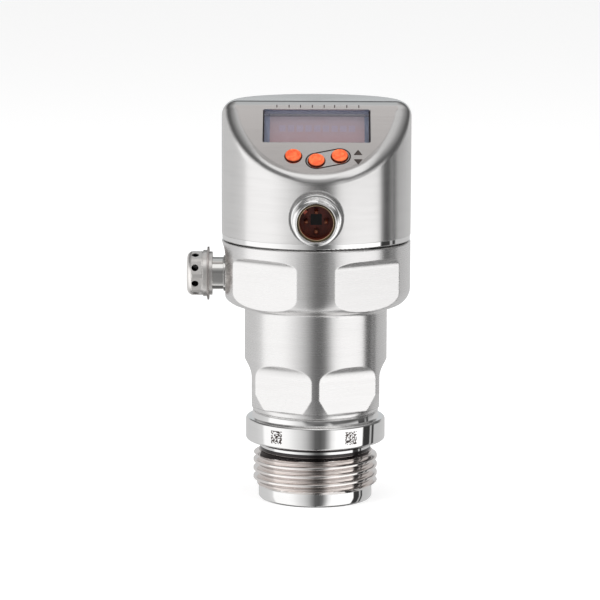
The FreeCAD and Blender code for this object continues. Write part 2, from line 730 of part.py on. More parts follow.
# Round board in the neck

round_board = new_body("sensor_board")
revolve(round_board, [
    (ZERO, dims.board_shelf_z - dims.board_thickness),
    (dims.neck_bore_radius - dims.round_board_play, dims.board_shelf_z - dims.board_thickness),
    (dims.neck_bore_radius - dims.round_board_play, dims.board_shelf_z),
    (ZERO, dims.board_shelf_z),
])
keep(round_board)

# Head shell: turned outside with its bearing spigot and tube, slanted panel, hollow core

spigot_radius = dims.bearing_radius - dims.running_clearance
tube_radius = dims.bearing_web_radius - dims.running_clearance
clip_top = dims.bearing_web_bottom - dims.turning_gap
clip_low = clip_top - dims.clip_height
oring_groove_half = dims.oring_radius + dims.oring_side_play
oring_groove_floor = spigot_radius - (dims.oring_radius + dims.oring_side_play) * 2

head = new_body("head_turned")
revolve(head, [
    (ZERO, dims.tube_bottom),
    (tube_radius, dims.tube_bottom),
    (tube_radius, clip_low),
    (tube_radius - dims.clip_groove_depth, clip_low),
    (tube_radius - dims.clip_groove_depth, clip_top),
    (tube_radius, clip_top),
    (tube_radius, dims.spigot_bottom),
    (spigot_radius, dims.spigot_bottom),
    (spigot_radius, dims.oring_z - oring_groove_half),
    (oring_groove_floor, dims.oring_z - oring_groove_half),
    (oring_groove_floor, dims.oring_z + oring_groove_half),
    (spigot_radius, dims.oring_z + oring_groove_half),
    (spigot_radius, head_base),
    (dims.head_radius, head_base),
    (dims.head_radius, dims.head_top),
    (ZERO, dims.head_top),
])
round_edges(head, dims.head_round, rim(dims.head_radius, dims.head_top), "head_upper_round")


def slanted_corners(offset):
    """The space in front of the panel, or of a plane parallel to it further in."""
    tilt = dims.panel_tilt
    margin = dims.head_wall
    foot = dims.panel_foot_z - offset / tilt.cos()
    front = -(dims.head_radius + margin)
    low = foot - margin * tilt.tan()
    high = dims.head_top + margin
    back = (high - foot) / tilt.tan() - dims.head_radius
    return [(front, low), (back, high), (front, high)]


slope_sketch = new_sketch(head, "YZ_Plane", "panel_cutter")
outline(slope_sketch, slanted_corners(ZERO))
pocket(head, slope_sketch, dims.head_radius * 2 + dims.head_wall, "panel")
panel_normal = FreeCAD.Vector(0, -dims.panel_tilt.sin().number, dims.panel_tilt.cos().number)
panel_rim = []
for face in head.Tip.Shape.Faces:
    if isinstance(face.Surface, Part.Plane):
        if abs(abs(face.Surface.Axis.dot(panel_normal)) - 1) < 1e-6:
            panel_rim.extend(edge for edge in face.Edges
                             if not isinstance(edge.Curve, Part.Line))
round_edges(head, dims.panel_round,
            lambda edge: any(edge.isSame(other) for other in panel_rim), "panel_round")

core = new_body("head_core")
tube_bore = tube_radius - dims.clip_groove_depth - dims.tube_wall
revolve(core, [
    (ZERO, dims.tube_bottom - dims.head_wall),
    (tube_bore, dims.tube_bottom - dims.head_wall),
    (tube_bore, dims.spigot_bottom + dims.spigot_floor),
    (spigot_radius - dims.spigot_wall, dims.spigot_bottom + dims.spigot_floor),
    (spigot_radius - dims.spigot_wall, head_base + dims.head_floor),
    (dims.head_radius - dims.head_wall, head_base + dims.head_floor),
    (dims.head_radius - dims.head_wall, dims.head_top - dims.head_wall),
    (ZERO, dims.head_top - dims.head_wall),
])
round_edges(core, dims.head_round - dims.head_wall,
            rim(dims.head_radius - dims.head_wall, dims.head_top - dims.head_wall),
            "core_round")
core_sketch = new_sketch(core, "YZ_Plane", "core_slope")
outline(core_sketch, slanted_corners(dims.head_wall))
pocket(core, core_sketch, dims.head_radius * 2 + dims.head_wall, "core_panel")

# Low boss that carries the plug, trimmed level with the foot of the head

boss = cylinder("plug_boss", dims.boss_radius, dims.boss_reach - dims.shank_back)
place(boss, ZERO, -dims.shank_back, dims.connector_z, (1, 0, 0), size(90))
boss_trim = block("plug_boss_trim", dims.boss_radius * 4, dims.boss_reach,
                  dims.boss_radius * 2)
place(boss_trim, dims.boss_radius * -2, dims.boss_reach * -1.5,
      head_base - dims.boss_radius * 2)
boss_trimmed = cut("plug_boss_trimmed", boss, [boss_trim])
head_solid = fuse("head_solid", [head, boss_trimmed])

# Openings of the head

window_tool = new_body("window_tool")
window_sketch = new_sketch(window_tool, "XY_Plane", "window_outline")
half_width = dims.window_width / 2
window_low = dims.window_slope - dims.window_height / 2
window_high = dims.window_slope + dims.window_height / 2
outline(window_sketch, [
    (-half_width, window_low),
    (half_width, window_low),
    (half_width, window_high),
    (-half_width, window_high),
])
window_pad = window_tool.newObject("PartDesign::Pad", "window_block")
window_pad.Profile = (window_sketch, [""])
window_pad.SideType = "Symmetric"
bind(window_pad, "Length", dims.head_wall * 3)
doc.recompute()
round_edges(window_tool, dims.window_corner,
            lambda edge: abs(edge.Vertexes[0].X - edge.Vertexes[-1].X) < 1e-6
            and abs(edge.Vertexes[0].Y - edge.Vertexes[-1].Y) < 1e-6, "window_corners")
on_panel(window_tool)

BUTTONS = (
    ("left", -dims.button_pitch, dims.button_slope),
    ("middle", ZERO, dims.button_slope - dims.button_drop),
    ("right", dims.button_pitch, dims.button_slope),
)
button_holes = []
for side, across, slope in BUTTONS:
    hole = cylinder("button_hole_" + side, dims.button_radius + dims.button_play,
                    dims.head_wall * 3)
    at_panel(hole, across, slope, dims.head_wall * -2)
    button_holes.append(hole)

plug_hole = cylinder("plug_hole", dims.shank_radius + dims.seat_clearance,
                     dims.boss_reach - dims.insert_back + dims.insert_tail_length)
place(plug_hole, ZERO, dims.insert_tail_length - dims.insert_back, dims.connector_z,
      (1, 0, 0), size(90))

head_open = cut("head_open", head_solid, [core, window_tool, plug_hole] + button_holes)
head_stop = block("head_stop", dims.stop_width, spigot_radius - tube_radius,
                  dims.stop_height)
place(head_stop, dims.stop_width * -0.5, -spigot_radius + dims.stop_inner_gap,
      dims.spigot_bottom - dims.stop_height)
stop_bore = cylinder("stop_bore", tube_bore + dims.tube_wall / 2, dims.stop_height * 3)
place(stop_bore, ZERO, ZERO, dims.spigot_bottom - dims.stop_height * 2)
head_stop_trimmed = cut("head_stop_trimmed", head_stop, [stop_bore])
keep(fuse("head_shell", [head_open, head_stop_trimmed]))

# Ring under the head, head seal and retaining clip

seam = new_body("seam_ring")
seam_radius = dims.head_radius - dims.seam_inset
revolve(seam, [
    (dims.bearing_radius, dims.housing_top + dims.turning_gap),
    (seam_radius, dims.housing_top + dims.turning_gap),
    (seam_radius, head_base),
    (dims.bearing_radius, head_base),
])
round_edges(seam, dims.seam_round, rim(seam_radius, dims.housing_top + dims.turning_gap),
            "seam_lower_round")
keep(seam)

oring = doc.addObject("Part::Torus", "head_seal")
bind(oring, "Radius1", oring_groove_floor + dims.oring_radius + dims.seat_clearance)
bind(oring, "Radius2", dims.oring_radius)
place(oring, ZERO, ZERO, dims.oring_z)
oring.Label = "head_seal"
keep(oring)

clip_ring = tube("swivel_clip_ring", tube_radius + dims.clip_reach,
                 tube_radius - dims.clip_groove_depth + dims.seat_clearance,
                 clip_low, clip_top)
clip_gap = block("swivel_clip_gap", dims.stop_width * 2, dims.bearing_radius,
                 dims.clip_height * 3)
place(clip_gap, -dims.stop_width, ZERO, clip_low - dims.clip_height)
keep(cut("swivel_clip", clip_ring, [clip_gap]))

# Display window, gasket, module, board, posts and switches in the panel frame

pane = new_body("display_window")
pane_sketch = new_sketch(pane, "XY_Plane", "pane_outline")
outline(pane_sketch, [
    (dims.window_play - half_width, window_low + dims.window_play),
    (half_width - dims.window_play, window_low + dims.window_play),
    (half_width - dims.window_play, window_high - dims.window_play),
    (dims.window_play - half_width, window_high - dims.window_play),
])
pane_pad = pane.newObject("PartDesign::Pad", "pane_block")
pane_pad.Profile = (pane_sketch, [""])
bind(pane_pad, "Length", dims.head_wall - dims.window_recess)
doc.recompute()
round_edges(pane, dims.window_corner,
            lambda edge: abs(edge.Vertexes[0].X - edge.Vertexes[-1].X) < 1e-6
            and abs(edge.Vertexes[0].Y - edge.Vertexes[-1].Y) < 1e-6, "pane_corners")
at_panel(pane, ZERO, ZERO, -dims.head_wall)
keep(pane)

module_low = dims.window_slope - dims.module_height / 2
module_high = dims.window_slope + dims.module_height / 2
half_module = dims.module_width / 2


def panel_plate(name, corners, inner, back, front, rounding=None):
    """A flat piece parallel to the panel, between two depths, with an optional opening."""
    body = new_body(name)
    sketch = new_sketch(body, "XY_Plane", name + "_outline")
    outline(sketch, corners)
    pad = body.newObject("PartDesign::Pad", name + "_plate")
    pad.Profile = (sketch, [""])
    bind(pad, "Length", front - back)
    doc.recompute()
    if rounding is not None:
        round_edges(body, rounding,
                    lambda edge: abs(edge.Vertexes[0].X - edge.Vertexes[-1].X) < 1e-6
                    and abs(edge.Vertexes[0].Y - edge.Vertexes[-1].Y) < 1e-6,
                    name + "_corners")
    if inner:
        hole_sketch = new_sketch(body, "XY_Plane", name + "_opening")
        outline(hole_sketch, inner)
        pocket(body, hole_sketch, (front - back) * 3, name + "_cut")
    at_panel(body, ZERO, ZERO, back)
    return body


def rectangle(half, low, high):
    return [(-half, low), (half, low), (half, high), (-half, high)]


wall_back = -dims.head_wall
gasket_back = wall_back - dims.gasket_thickness
board_front = -dims.board_depth
board_back = board_front - dims.board_thickness
keep(panel_plate("window_gasket", rectangle(half_module, module_low, module_high),
                 rectangle(half_width, window_low, window_high),
                 gasket_back, wall_back))
keep(panel_plate("display_module", rectangle(half_module, module_low, module_high), None,
                 board_front, gasket_back, dims.module_round))
half_board = dims.board_width / 2
half_foot = dims.board_foot_width / 2
keep(panel_plate("display_board", [
    (-half_foot, dims.board_foot_slope),
    (half_foot, dims.board_foot_slope),
    (half_foot, dims.board_step_slope),
    (half_board, dims.board_step_slope),
    (half_board, dims.board_head_slope),
    (-half_board, dims.board_head_slope),
    (-half_board, dims.board_step_slope),
    (-half_foot, dims.board_step_slope),
], None, board_back, board_front))

posts = []
for side, across in (("left", -dims.post_offset), ("right", dims.post_offset)):
    post = cylinder("board_post_" + side, dims.post_radius, wall_back - board_front)
    at_panel(post, across, dims.post_slope, board_front)
    posts.append(post)
keep(group("board_posts", posts))

switches = []
for side, across, slope in BUTTONS:
    base = block("switch_base_" + side, dims.switch_width, dims.switch_width,
                 dims.switch_height)
    at_panel(base, across - dims.switch_width / 2, slope - dims.switch_width / 2, board_front)
    plunger = cylinder("switch_plunger_" + side, dims.switch_pin_radius,
                       dims.switch_height + dims.switch_pin_height)
    at_panel(plunger, across, slope, board_front)
    switches.append(fuse("switch_" + side, [base, plunger]))
keep(group("button_switches", switches))

# Buttons: dished cap, flange behind the wall, stem above its switch

flange_front = wall_back - dims.turning_gap
flange_back = flange_front - dims.button_flange_height
stem_back = (board_front + dims.switch_height + dims.switch_pin_height
             + dims.button_travel + dims.turning_gap)
for side, across, slope in BUTTONS:
    button = new_body("button_" + side)
    revolve(button, [
        (ZERO, stem_back),
        (dims.button_stem_radius, stem_back),
        (dims.button_stem_radius, flange_back),
        (dims.button_flange_radius, flange_back),
        (dims.button_flange_radius, flange_front),
        (dims.button_radius, flange_front),
        (dims.button_radius, dims.button_rise - dims.button_dish),
        (dims.button_radius - dims.button_dish, dims.button_rise),
        (dims.button_dish_radius, dims.button_rise),
        (dims.button_dish_radius - dims.button_dish, dims.button_rise - dims.button_dish),
        (ZERO, dims.button_rise - dims.button_dish),
    ])
    at_panel(button, across, slope, ZERO)
    keep(button)

# Plug: metal shell, contact carrier with its key, contact pins

shell = new_body("connector_shell")
relief_low = dims.plug_collar_end
relief_high = relief_low + dims.plug_relief_width
relief_radius = dims.plug_radius - dims.plug_relief_depth
revolve(shell, [
    (dims.plug_bore_radius, dims.shank_back),
    (dims.shank_radius, dims.shank_back),
    (dims.shank_radius, dims.boss_reach),
    (dims.plug_collar_radius, dims.boss_reach),
    (dims.plug_collar_radius, relief_low),
    (relief_radius, relief_low),
    (relief_radius, relief_high),
    (dims.plug_radius, relief_high + dims.plug_relief_depth),
    (dims.plug_radius, dims.plug_front - dims.plug_chamfer),
    (dims.plug_radius - dims.plug_chamfer, dims.plug_front),
    (dims.plug_bore_radius, dims.plug_front),
])
on_plug(shell)
keep(shell)

insert_radius = dims.plug_bore_radius - dims.seat_clearance
insert_rim = dims.plug_front - dims.insert_rim_setback
carrier = new_body("carrier_turned")
revolve(carrier, [
    (ZERO, dims.insert_back),
    (dims.insert_tail_radius, dims.insert_back),
    (dims.insert_tail_radius, dims.insert_back + dims.insert_tail_length),
    (insert_radius, dims.insert_back + dims.insert_tail_length),
    (insert_radius, insert_rim),
    (insert_radius - dims.insert_wall, insert_rim),
    (insert_radius - dims.insert_wall, dims.insert_floor),
    (ZERO, dims.insert_floor),
])
on_plug(carrier)
key_top = insert_radius - dims.insert_wall / 2
key_bottom = insert_radius - dims.insert_wall - dims.key_depth
key = block("carrier_key", dims.key_width, key_top - key_bottom,
            insert_rim - dims.insert_floor + dims.key_width)
turn = dims.key_turn
key_x = -(key_bottom * turn.sin()) - dims.key_width / 2 * turn.cos()
key_y = key_bottom * turn.cos() - dims.key_width / 2 * turn.sin()
key_start = dims.insert_floor - dims.key_width
place(key, key_x, key_y, key_start, (0, 0, 1), turn)
key_frame = group("carrier_key_placed", [key])
on_plug(key_frame)
pins = []
pin_holes = []
for name, across, up in (
        ("right", dims.pin_circle_radius, ZERO), ("top", ZERO, dims.pin_circle_radius),
        ("left", -dims.pin_circle_radius, ZERO), ("bottom", ZERO, -dims.pin_circle_radius)):
    pin = new_body("contact_pin_" + name)
    revolve(pin, [
        (ZERO, dims.pin_back),
        (dims.pin_radius, dims.pin_back),
        (dims.pin_radius, dims.pin_tip - dims.pin_round),
        (dims.pin_radius - dims.pin_round, dims.pin_tip),
        (ZERO, dims.pin_tip),
    ])
    place(pin, across, ZERO, dims.connector_z + up, (1, 0, 0), size(90))
    pins.append(pin)
    hole = cylinder("pin_hole_" + name, dims.pin_radius + dims.pin_play,
                    dims.pin_tip - dims.pin_back)
    place(hole, across, -dims.pin_back, dims.connector_z + up, (1, 0, 0), size(90))
    pin_holes.append(hole)
carrier_keyed = fuse("carrier_keyed", [carrier, key_frame])
keep(cut("connector_insert", carrier_keyed, pin_holes))
keep(group("contact_pins", pins))

# Main board standing on the floor ring of the head

main_board = block("main_board", dims.main_board_half_width * 2, dims.board_thickness,
                   dims.main_board_height)
place(main_board, -dims.main_board_half_width, dims.main_board_y, head_base + dims.head_floor)
main_board.Label = "main_board"
keep(main_board)

# Vent: stub, ring, disc, membrane and perforated cap

stub_end = dims.vent_neck_end + dims.vent_spigot_length
base_end = dims.vent_flat_distance + dims.vent_base_height
stub = new_body("vent_stub")
revolve(stub, [
    (dims.vent_bore_radius, dims.vent_flat_distance - dims.vent_shank_length),
    (dims.vent_shank_radius, dims.vent_flat_distance - dims.vent_shank_length),
    (dims.vent_shank_radius, dims.vent_flat_distance),
    (dims.vent_base_radius, dims.vent_flat_distance),
    (dims.vent_base_radius, base_end),
    (dims.vent_neck_radius, base_end),
    (dims.vent_neck_radius, dims.vent_neck_end),
    (dims.vent_spigot_radius, dims.vent_neck_end),
    (dims.vent_spigot_radius, stub_end),
    (dims.vent_bore_radius, stub_end),
])
on_vent(stub)
keep(stub)

ring_end = dims.vent_neck_end + dims.vent_gasket_height
disc_end = ring_end + dims.vent_disc_height
vent_ring = tube("vent_ring", dims.vent_gasket_radius,
                 dims.vent_spigot_radius + dims.seat_clearance, dims.vent_neck_end, ring_end)
on_vent(vent_ring)
keep(vent_ring)
vent_disc = tube("vent_disc", dims.vent_disc_radius,
                 dims.vent_spigot_radius + dims.seat_clearance, ring_end, disc_end)
on_vent(vent_disc)
keep(vent_disc)
membrane = cylinder("vent_membrane", dims.vent_spigot_radius, dims.membrane_thickness)
place(membrane, -stub_end, ZERO, dims.vent_z, (0, 1, 0), size(-90))
membrane.Label = "vent_membrane"
keep(membrane)

cap = new_body("vent_cap")
cap_end = disc_end + dims.cap_height
cap_flange_end = disc_end + dims.cap_flange_height
revolve(cap, [
    (dims.cap_bore_radius, disc_end),
    (dims.cap_flange_radius, disc_end),
    (dims.cap_flange_radius, cap_flange_end),
    (dims.cap_radius, cap_flange_end),
    (dims.cap_radius, cap_end),
    (ZERO, cap_end),
    (ZERO, cap_end - dims.cap_roof),
    (dims.cap_bore_radius, cap_end - dims.cap_roof),
])
round_edges(cap, dims.cap_round, rim(dims.cap_radius, cap_end), "cap_round")
cap_flat_low = disc_end + dims.cap_flat_start
cap_flat_high = cap_flat_low + dims.cap_flat_length
cap_flat_sketch = new_sketch(cap, "XZ_Plane", "cap_flat_outline")
outline(cap_flat_sketch, [
    (dims.cap_flat_distance, cap_flat_low),
    (dims.cap_flat_distance + dims.cap_round, cap_flat_low),
    (dims.cap_flat_distance + dims.cap_round, cap_flat_high),
    (dims.cap_flat_distance, cap_flat_high),
])
cap_flat = pocket(cap, cap_flat_sketch, dims.cap_radius, "cap_flat")
polar(cap, [cap_flat], 8, 360, "cap_flats")
hole_sketch = new_sketch(cap, "YZ_Plane", "cap_hole_outline")
hole_sketch.addGeometry(Part.Circle(
    FreeCAD.Vector(0, (disc_end + dims.cap_hole_rise).number, 0),
    FreeCAD.Vector(0, 0, 1), dims.cap_hole_radius.number))
pin_point(hole_sketch, 0, 3, ZERO, disc_end + dims.cap_hole_rise, "c")
index = hole_sketch.addConstraint(
    Sketcher.Constraint("Radius", 0, dims.cap_hole_radius.number))
hole_sketch.renameConstraint(index, "bore")
hole_sketch.setExpression("Constraints.bore", dims.cap_hole_radius.text)
cap_hole = pocket(cap, hole_sketch, dims.cap_flange_radius * 3, "cap_hole")
polar(cap, [cap_hole], 4, 135, "cap_holes")
half_step = FreeCAD.Rotation(FreeCAD.Vector(0, 0, 1), 22.5)
upright = FreeCAD.Rotation(FreeCAD.Vector(0, 1, 0), -90)
cap.Placement = FreeCAD.Placement(FreeCAD.Vector(0, 0, dims.vent_z.number), upright * half_step)
bind(cap, "Placement.Base.z", dims.vent_z)
keep(cap)

# Checks and export

doc.recompute()
for obj in doc.Objects:
    if "Invalid" in obj.State or "Error" in obj.State:
        raise RuntimeError(obj.Label + " did not compute: " + str(obj.State))
total = 0
for obj in nodes:
    shape = obj.Shape
    if shape.isNull() or not shape.isValid() or not shape.Solids:
        raise RuntimeError(obj.Label + " has no valid solid")
    total += 1
    box = shape.BoundBox
    print("%-18s solids %d volume %9.1f  x %7.2f %7.2f  y %7.2f %7.2f  z %7.2f %7.2f" % (
        obj.Label, len(shape.Solids), shape.Volume, box.XMin, box.XMax,
        box.YMin, box.YMax, box.ZMin, box.ZMax))
    shape.exportStep(os.path.join("parts", obj.Label + ".step"))
print("nodes", total)
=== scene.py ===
import json
import math
import random

import bpy
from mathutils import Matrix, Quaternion, Vector


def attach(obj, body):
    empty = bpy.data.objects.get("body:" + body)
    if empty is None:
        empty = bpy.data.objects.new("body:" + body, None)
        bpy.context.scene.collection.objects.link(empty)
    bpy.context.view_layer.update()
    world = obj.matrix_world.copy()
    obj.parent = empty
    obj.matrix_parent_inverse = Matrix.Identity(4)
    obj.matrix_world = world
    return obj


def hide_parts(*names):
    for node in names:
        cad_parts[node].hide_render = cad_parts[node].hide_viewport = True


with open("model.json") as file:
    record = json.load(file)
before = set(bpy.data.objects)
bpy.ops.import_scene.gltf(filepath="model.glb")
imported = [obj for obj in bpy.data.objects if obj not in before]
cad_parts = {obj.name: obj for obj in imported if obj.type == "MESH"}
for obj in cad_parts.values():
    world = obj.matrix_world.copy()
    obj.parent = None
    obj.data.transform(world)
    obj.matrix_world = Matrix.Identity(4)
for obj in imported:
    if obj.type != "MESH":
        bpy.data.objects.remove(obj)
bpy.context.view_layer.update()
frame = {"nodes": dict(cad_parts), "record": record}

MM = 0.001
nodes = frame["nodes"]
mount = {m["name"]: m for m in frame["record"]["mounts"]}

# Sizes of the source that the new pieces follow, in millimetres

# Process fitting: nose and thread, relief and flange, the grooved collar, spigot and bore
NOSE = mount["nose"]["dims"]["r_mm"]
THREAD_CREST = mount["process_thread"]["dims"]["r_mm"]
THREAD_ROOT, THREAD_PITCH = 15.12, 2.309
THREAD_LOW, THREAD_HIGH, THREAD_CONE = 3.5, 13.2, 1.1
CREST_AT_RIGHT = 11.32
RELIEF, RELIEF_ROUND = 14.8, 0.3
FLANGE, FLANGE_LOW, FLANGE_TOP, FLANGE_ROUND = 18.65, 16.0, 22.1, 0.7
COLLAR, COLLAR_TOP, GROOVE_Z = 16.8, 25.5, 23.85
SPIGOT, SPIGOT_TOP = 14.3, 29.5
CELL_BORE, CELL_FACE, CELL_LIP = 12.9, 11.4, 2.2

# Plug: its axis, bore and both ends, its shank and collar, and its thread of 1 mm pitch
PLUG = mount["plug_thread"]["dims"]["r_mm"]
PLUG_Z, PLUG_BORE, PLUG_BACK, PLUG_FRONT = 78.35, 4.9, 20.0, 35.5
PLUG_SHANK, PLUG_COLLAR, PLUG_COLLAR_LOW, PLUG_COLLAR_HIGH = 5.6, 6.5, 26.2, 28.0
PLUG_THREAD_LOW, PLUG_THREAD_LENGTH = 28.7, 6.2
PLUG_ROOT = PLUG - 0.62
INSERT_FACE = 28.0

# Vent: its axis, and the hollow of its cap as far as the cap's end
VENT_Z, VENT_HOLLOW, VENT_END = 60.5, 5.1, 33.4

# Panel: its slope and foot, the turned body it cuts, the buttons and the window
PANEL_TILT, PANEL_FOOT, BODY = 41.0, 88.5, 25.1
BUTTONS = ((-6.0, 8.05), (0.0, 6.45), (6.0, 8.05))
WINDOW_MID, WINDOW_HALF, WINDOW_HIGH = 19.0, 14.05, 6.0
SLOPE_SIN, SLOPE_COS = math.sin(math.radians(PANEL_TILT)), math.cos(math.radians(PANEL_TILT))


# Camera

# Degrees above level and of roll, and metres from the point it looks at
CAMERA_RISE, CAMERA_ROLL, CAMERA_DISTANCE = 8.5, 0.25, 0.750
scene = bpy.context.scene
scene.view_settings.view_transform = "Standard"
rise = math.radians(CAMERA_RISE)
aim = Vector((0, 0, 55 * MM))
camera = bpy.data.objects.new("camera", bpy.data.cameras.new("camera"))
scene.collection.objects.link(camera)
camera.data.sensor_width = 36
camera.data.lens = 168.53
camera.data.shift_x = -0.0265
camera.data.shift_y = -0.0101
camera.data.clip_start = 0.05
camera.data.clip_end = 50
camera.location = aim + CAMERA_DISTANCE * Vector((0, -math.cos(rise), math.sin(rise)))
look = (aim - camera.location).to_track_quat("-Z", "Y")
camera.rotation_euler = (look @ Quaternion((0, 0, 1), math.radians(CAMERA_ROLL))).to_euler()
scene.camera = camera


# Node helpers

class Paint:
    """A node material in the making: its Principled shader and short calls for its nodes."""

    def __init__(self, name, color, metallic=0.0, roughness=0.5):
        self.mat = bpy.data.materials.new(name)
        self.mat.use_nodes = True
        self.mat.diffuse_color = (*color, 1)
        self.tree = self.mat.node_tree
        self.bsdf = self.tree.nodes["Principled BSDF"]
        self.set("Base Color", (*color, 1))
        self.set("Metallic", metallic)
        self.set("Roughness", roughness)
        self.place = self.node("ShaderNodeTexCoord").outputs["Object"]

    def give(self, node, key, value):
        if isinstance(value, bpy.types.NodeSocket):
            self.tree.links.new(value, node.inputs[key])
        else:
            node.inputs[key].default_value = value

    def node(self, kind, inputs=(), **props):
        made = self.tree.nodes.new(kind)
        for key, value in props.items():
            setattr(made, key, value)
        for key, value in dict(inputs).items():
            self.give(made, key, value)
        return made

    def set(self, key, value):
        self.give(self.bsdf, key, value)

    def show(self, shader):
        """Puts another shader than the Principled one on the surface."""
        out = next(n for n in self.tree.nodes if n.type == "OUTPUT_MATERIAL")
        self.tree.links.new(shader, out.inputs["Surface"])

    def math(self, operation, a, b=0.0, c=0.0):
        return self.node("ShaderNodeMath", {0: a, 1: b, 2: c}, operation=operation).outputs[0]

    def length(self, a, b):
        return self.math("SQRT", self.math("ADD", self.math("MULTIPLY", a, a),
                                           self.math("MULTIPLY", b, b)))

    def split(self, vector):
        return self.node("ShaderNodeSeparateXYZ", {0: vector}).outputs

    def normal_up(self):
        return self.split(self.node("ShaderNodeNewGeometry").outputs["Normal"])[2]

    def noise(self, vector, stretch=(1, 1, 1), detail=2.0, rough=0.5):
        stretched = self.node("ShaderNodeVectorMath", {0: vector, 1: stretch},
                              operation="MULTIPLY").outputs[0]
        return self.node("ShaderNodeTexNoise",
                         {"Vector": stretched, "Scale": 1.0,
                          "Detail": detail, "Roughness": rough}).outputs[0]

    def range(self, value, low, high, to_low, to_high):
        return self.node("ShaderNodeMapRange", {0: value, 1: low, 2: high, 3: to_low,
                                                4: to_high}).outputs[0]

    def mix(self, factor, a, b):
        """Mixes two colours, each a socket or three numbers."""
        made = self.node("ShaderNodeMix", {0: factor}, data_type="RGBA")
        for key, color in ((6, a), (7, b)):
            self.give(made, key, color if isinstance(color, bpy.types.NodeSocket) else (*color, 1))
        return made.outputs[2]

    def bevel(self, radius_mm):
        return self.node("ShaderNodeBevel", {"Radius": radius_mm * MM}, samples=6).outputs[0]

    def bump(self, height, depth_mm, before=None):
        inputs = {"Strength": 1.0, "Distance": depth_mm * MM, "Height": height}
        if before is not None:
            inputs["Normal"] = before
        return self.node("ShaderNodeBump", inputs).outputs[0]


def steel_place(paint):
    """Object position whose third part runs along the axis, and outwards on level faces, so
    that turning marks lie round the axis everywhere."""
    x, y, z = paint.split(paint.place)
    level = paint.math("ABSOLUTE", paint.normal_up())
    flat = paint.range(level, 0.86, 0.96, 0.0, 1.0)
    along = paint.math("ADD", z, paint.math("MULTIPLY", paint.length(x, y), flat))
    return paint.node("ShaderNodeCombineXYZ", {0: x, 1: y, 2: along}).outputs[0]


def thread_root_shade(paint, tint):
    """Painted shade in the root of the process thread."""
    x, y, z = paint.split(paint.place)
    deep = paint.range(paint.length(x, y), THREAD_ROOT * MM, (THREAD_ROOT + 0.04) * MM, 1.0, 0.0)
    return paint.mix(deep, tint, (0.42, 0.375, 0.355))


def vent_hollow_shade(paint, tint):
    """Painted shade on the inside of the vent's cap, so that its holes look dark."""
    x, y, z = paint.split(paint.place)
    off_axis = paint.length(y, paint.math("SUBTRACT", z, VENT_Z * MM))
    inside = paint.math("MULTIPLY", paint.range(off_axis, VENT_HOLLOW * MM,
                                                (VENT_HOLLOW + 0.3) * MM, 1.0, 0.0),
                        paint.range(x, -VENT_END * MM, (0.2 - VENT_END) * MM, 0.0, 1.0))
    return paint.mix(inside, tint, (0.02, 0.018, 0.018))


# Fineness of the marks on steel, as cells per metre: round the axis, and last along it
FINE_MARKS, BROAD_MARKS, CLOUDS = (45, 45, 5200), (60, 60, 700), (130, 130, 130)


def steel(name, color, shade, roughness, spread=0.06, streak=0.0015, anisotropy=0.0,
          rounding=0.12, blotch=0.0, milled=1.0, painted_shade=None):
    """Turned steel: fine marks round the axis in colour, gloss and relief, edges softened by
    rounding, and smoother by the share milled where it faces upwards."""
    paint = Paint(name, color, 1.0, roughness)
    where = steel_place(paint)
    marks = paint.noise(where, FINE_MARKS, 3.0, 0.6)
    broad = paint.noise(where, BROAD_MARKS, 2.0, 0.5)
    cloud = paint.noise(paint.place, CLOUDS, 3.0, 0.55)
    tone = paint.math("MULTIPLY_ADD", broad, 0.5, paint.math("MULTIPLY", marks, 0.5))
    tone = paint.math("MULTIPLY_ADD", cloud, blotch, tone)
    tint = paint.mix(paint.range(tone, 0.30, 0.72, 0.0, 1.0), shade, color)
    # Painted shade over the colour, where a function for it is given
    paint.set("Base Color", painted_shade(paint, tint) if painted_shade else tint)
    gloss = paint.math("MULTIPLY_ADD", marks, spread, roughness - spread * 0.8)
    gloss = paint.math("MULTIPLY_ADD", cloud, spread * 0.6, gloss)
    if milled < 1.0:
        gloss = paint.math("MULTIPLY", gloss,
                           paint.range(paint.normal_up(), 0.05, 0.3, 1.0, milled))
    paint.set("Roughness", gloss)
    if anisotropy:
        paint.set("Anisotropic", anisotropy)
        paint.set("Anisotropic Rotation", 0.25)
        paint.set("Tangent", paint.node("ShaderNodeTangent", direction_type="RADIAL",
                                        axis="Z").outputs[0])
    paint.set("Normal", paint.bump(marks, streak, paint.bevel(rounding) if rounding else None))
    return paint.mat


def plastic(name, color, shade, roughness, grain=0.02, scale=2600):
    """Moulded material with a fine grain and slightly uneven colour."""
    paint = Paint(name, color, 0.0, roughness)
    fine = paint.noise(paint.place, (scale,) * 3, 3.0, 0.6)
    cloud = paint.noise(paint.place, (350,) * 3, 3.0, 0.6)
    paint.set("Base Color", paint.mix(paint.range(cloud, 0.3, 0.7, 0.0, 1.0), shade, color))
    paint.set("Roughness", paint.range(fine, 0.3, 0.7, roughness - 0.06, roughness + 0.08))
    paint.set("Normal", paint.bump(fine, grain))
    return paint.mat


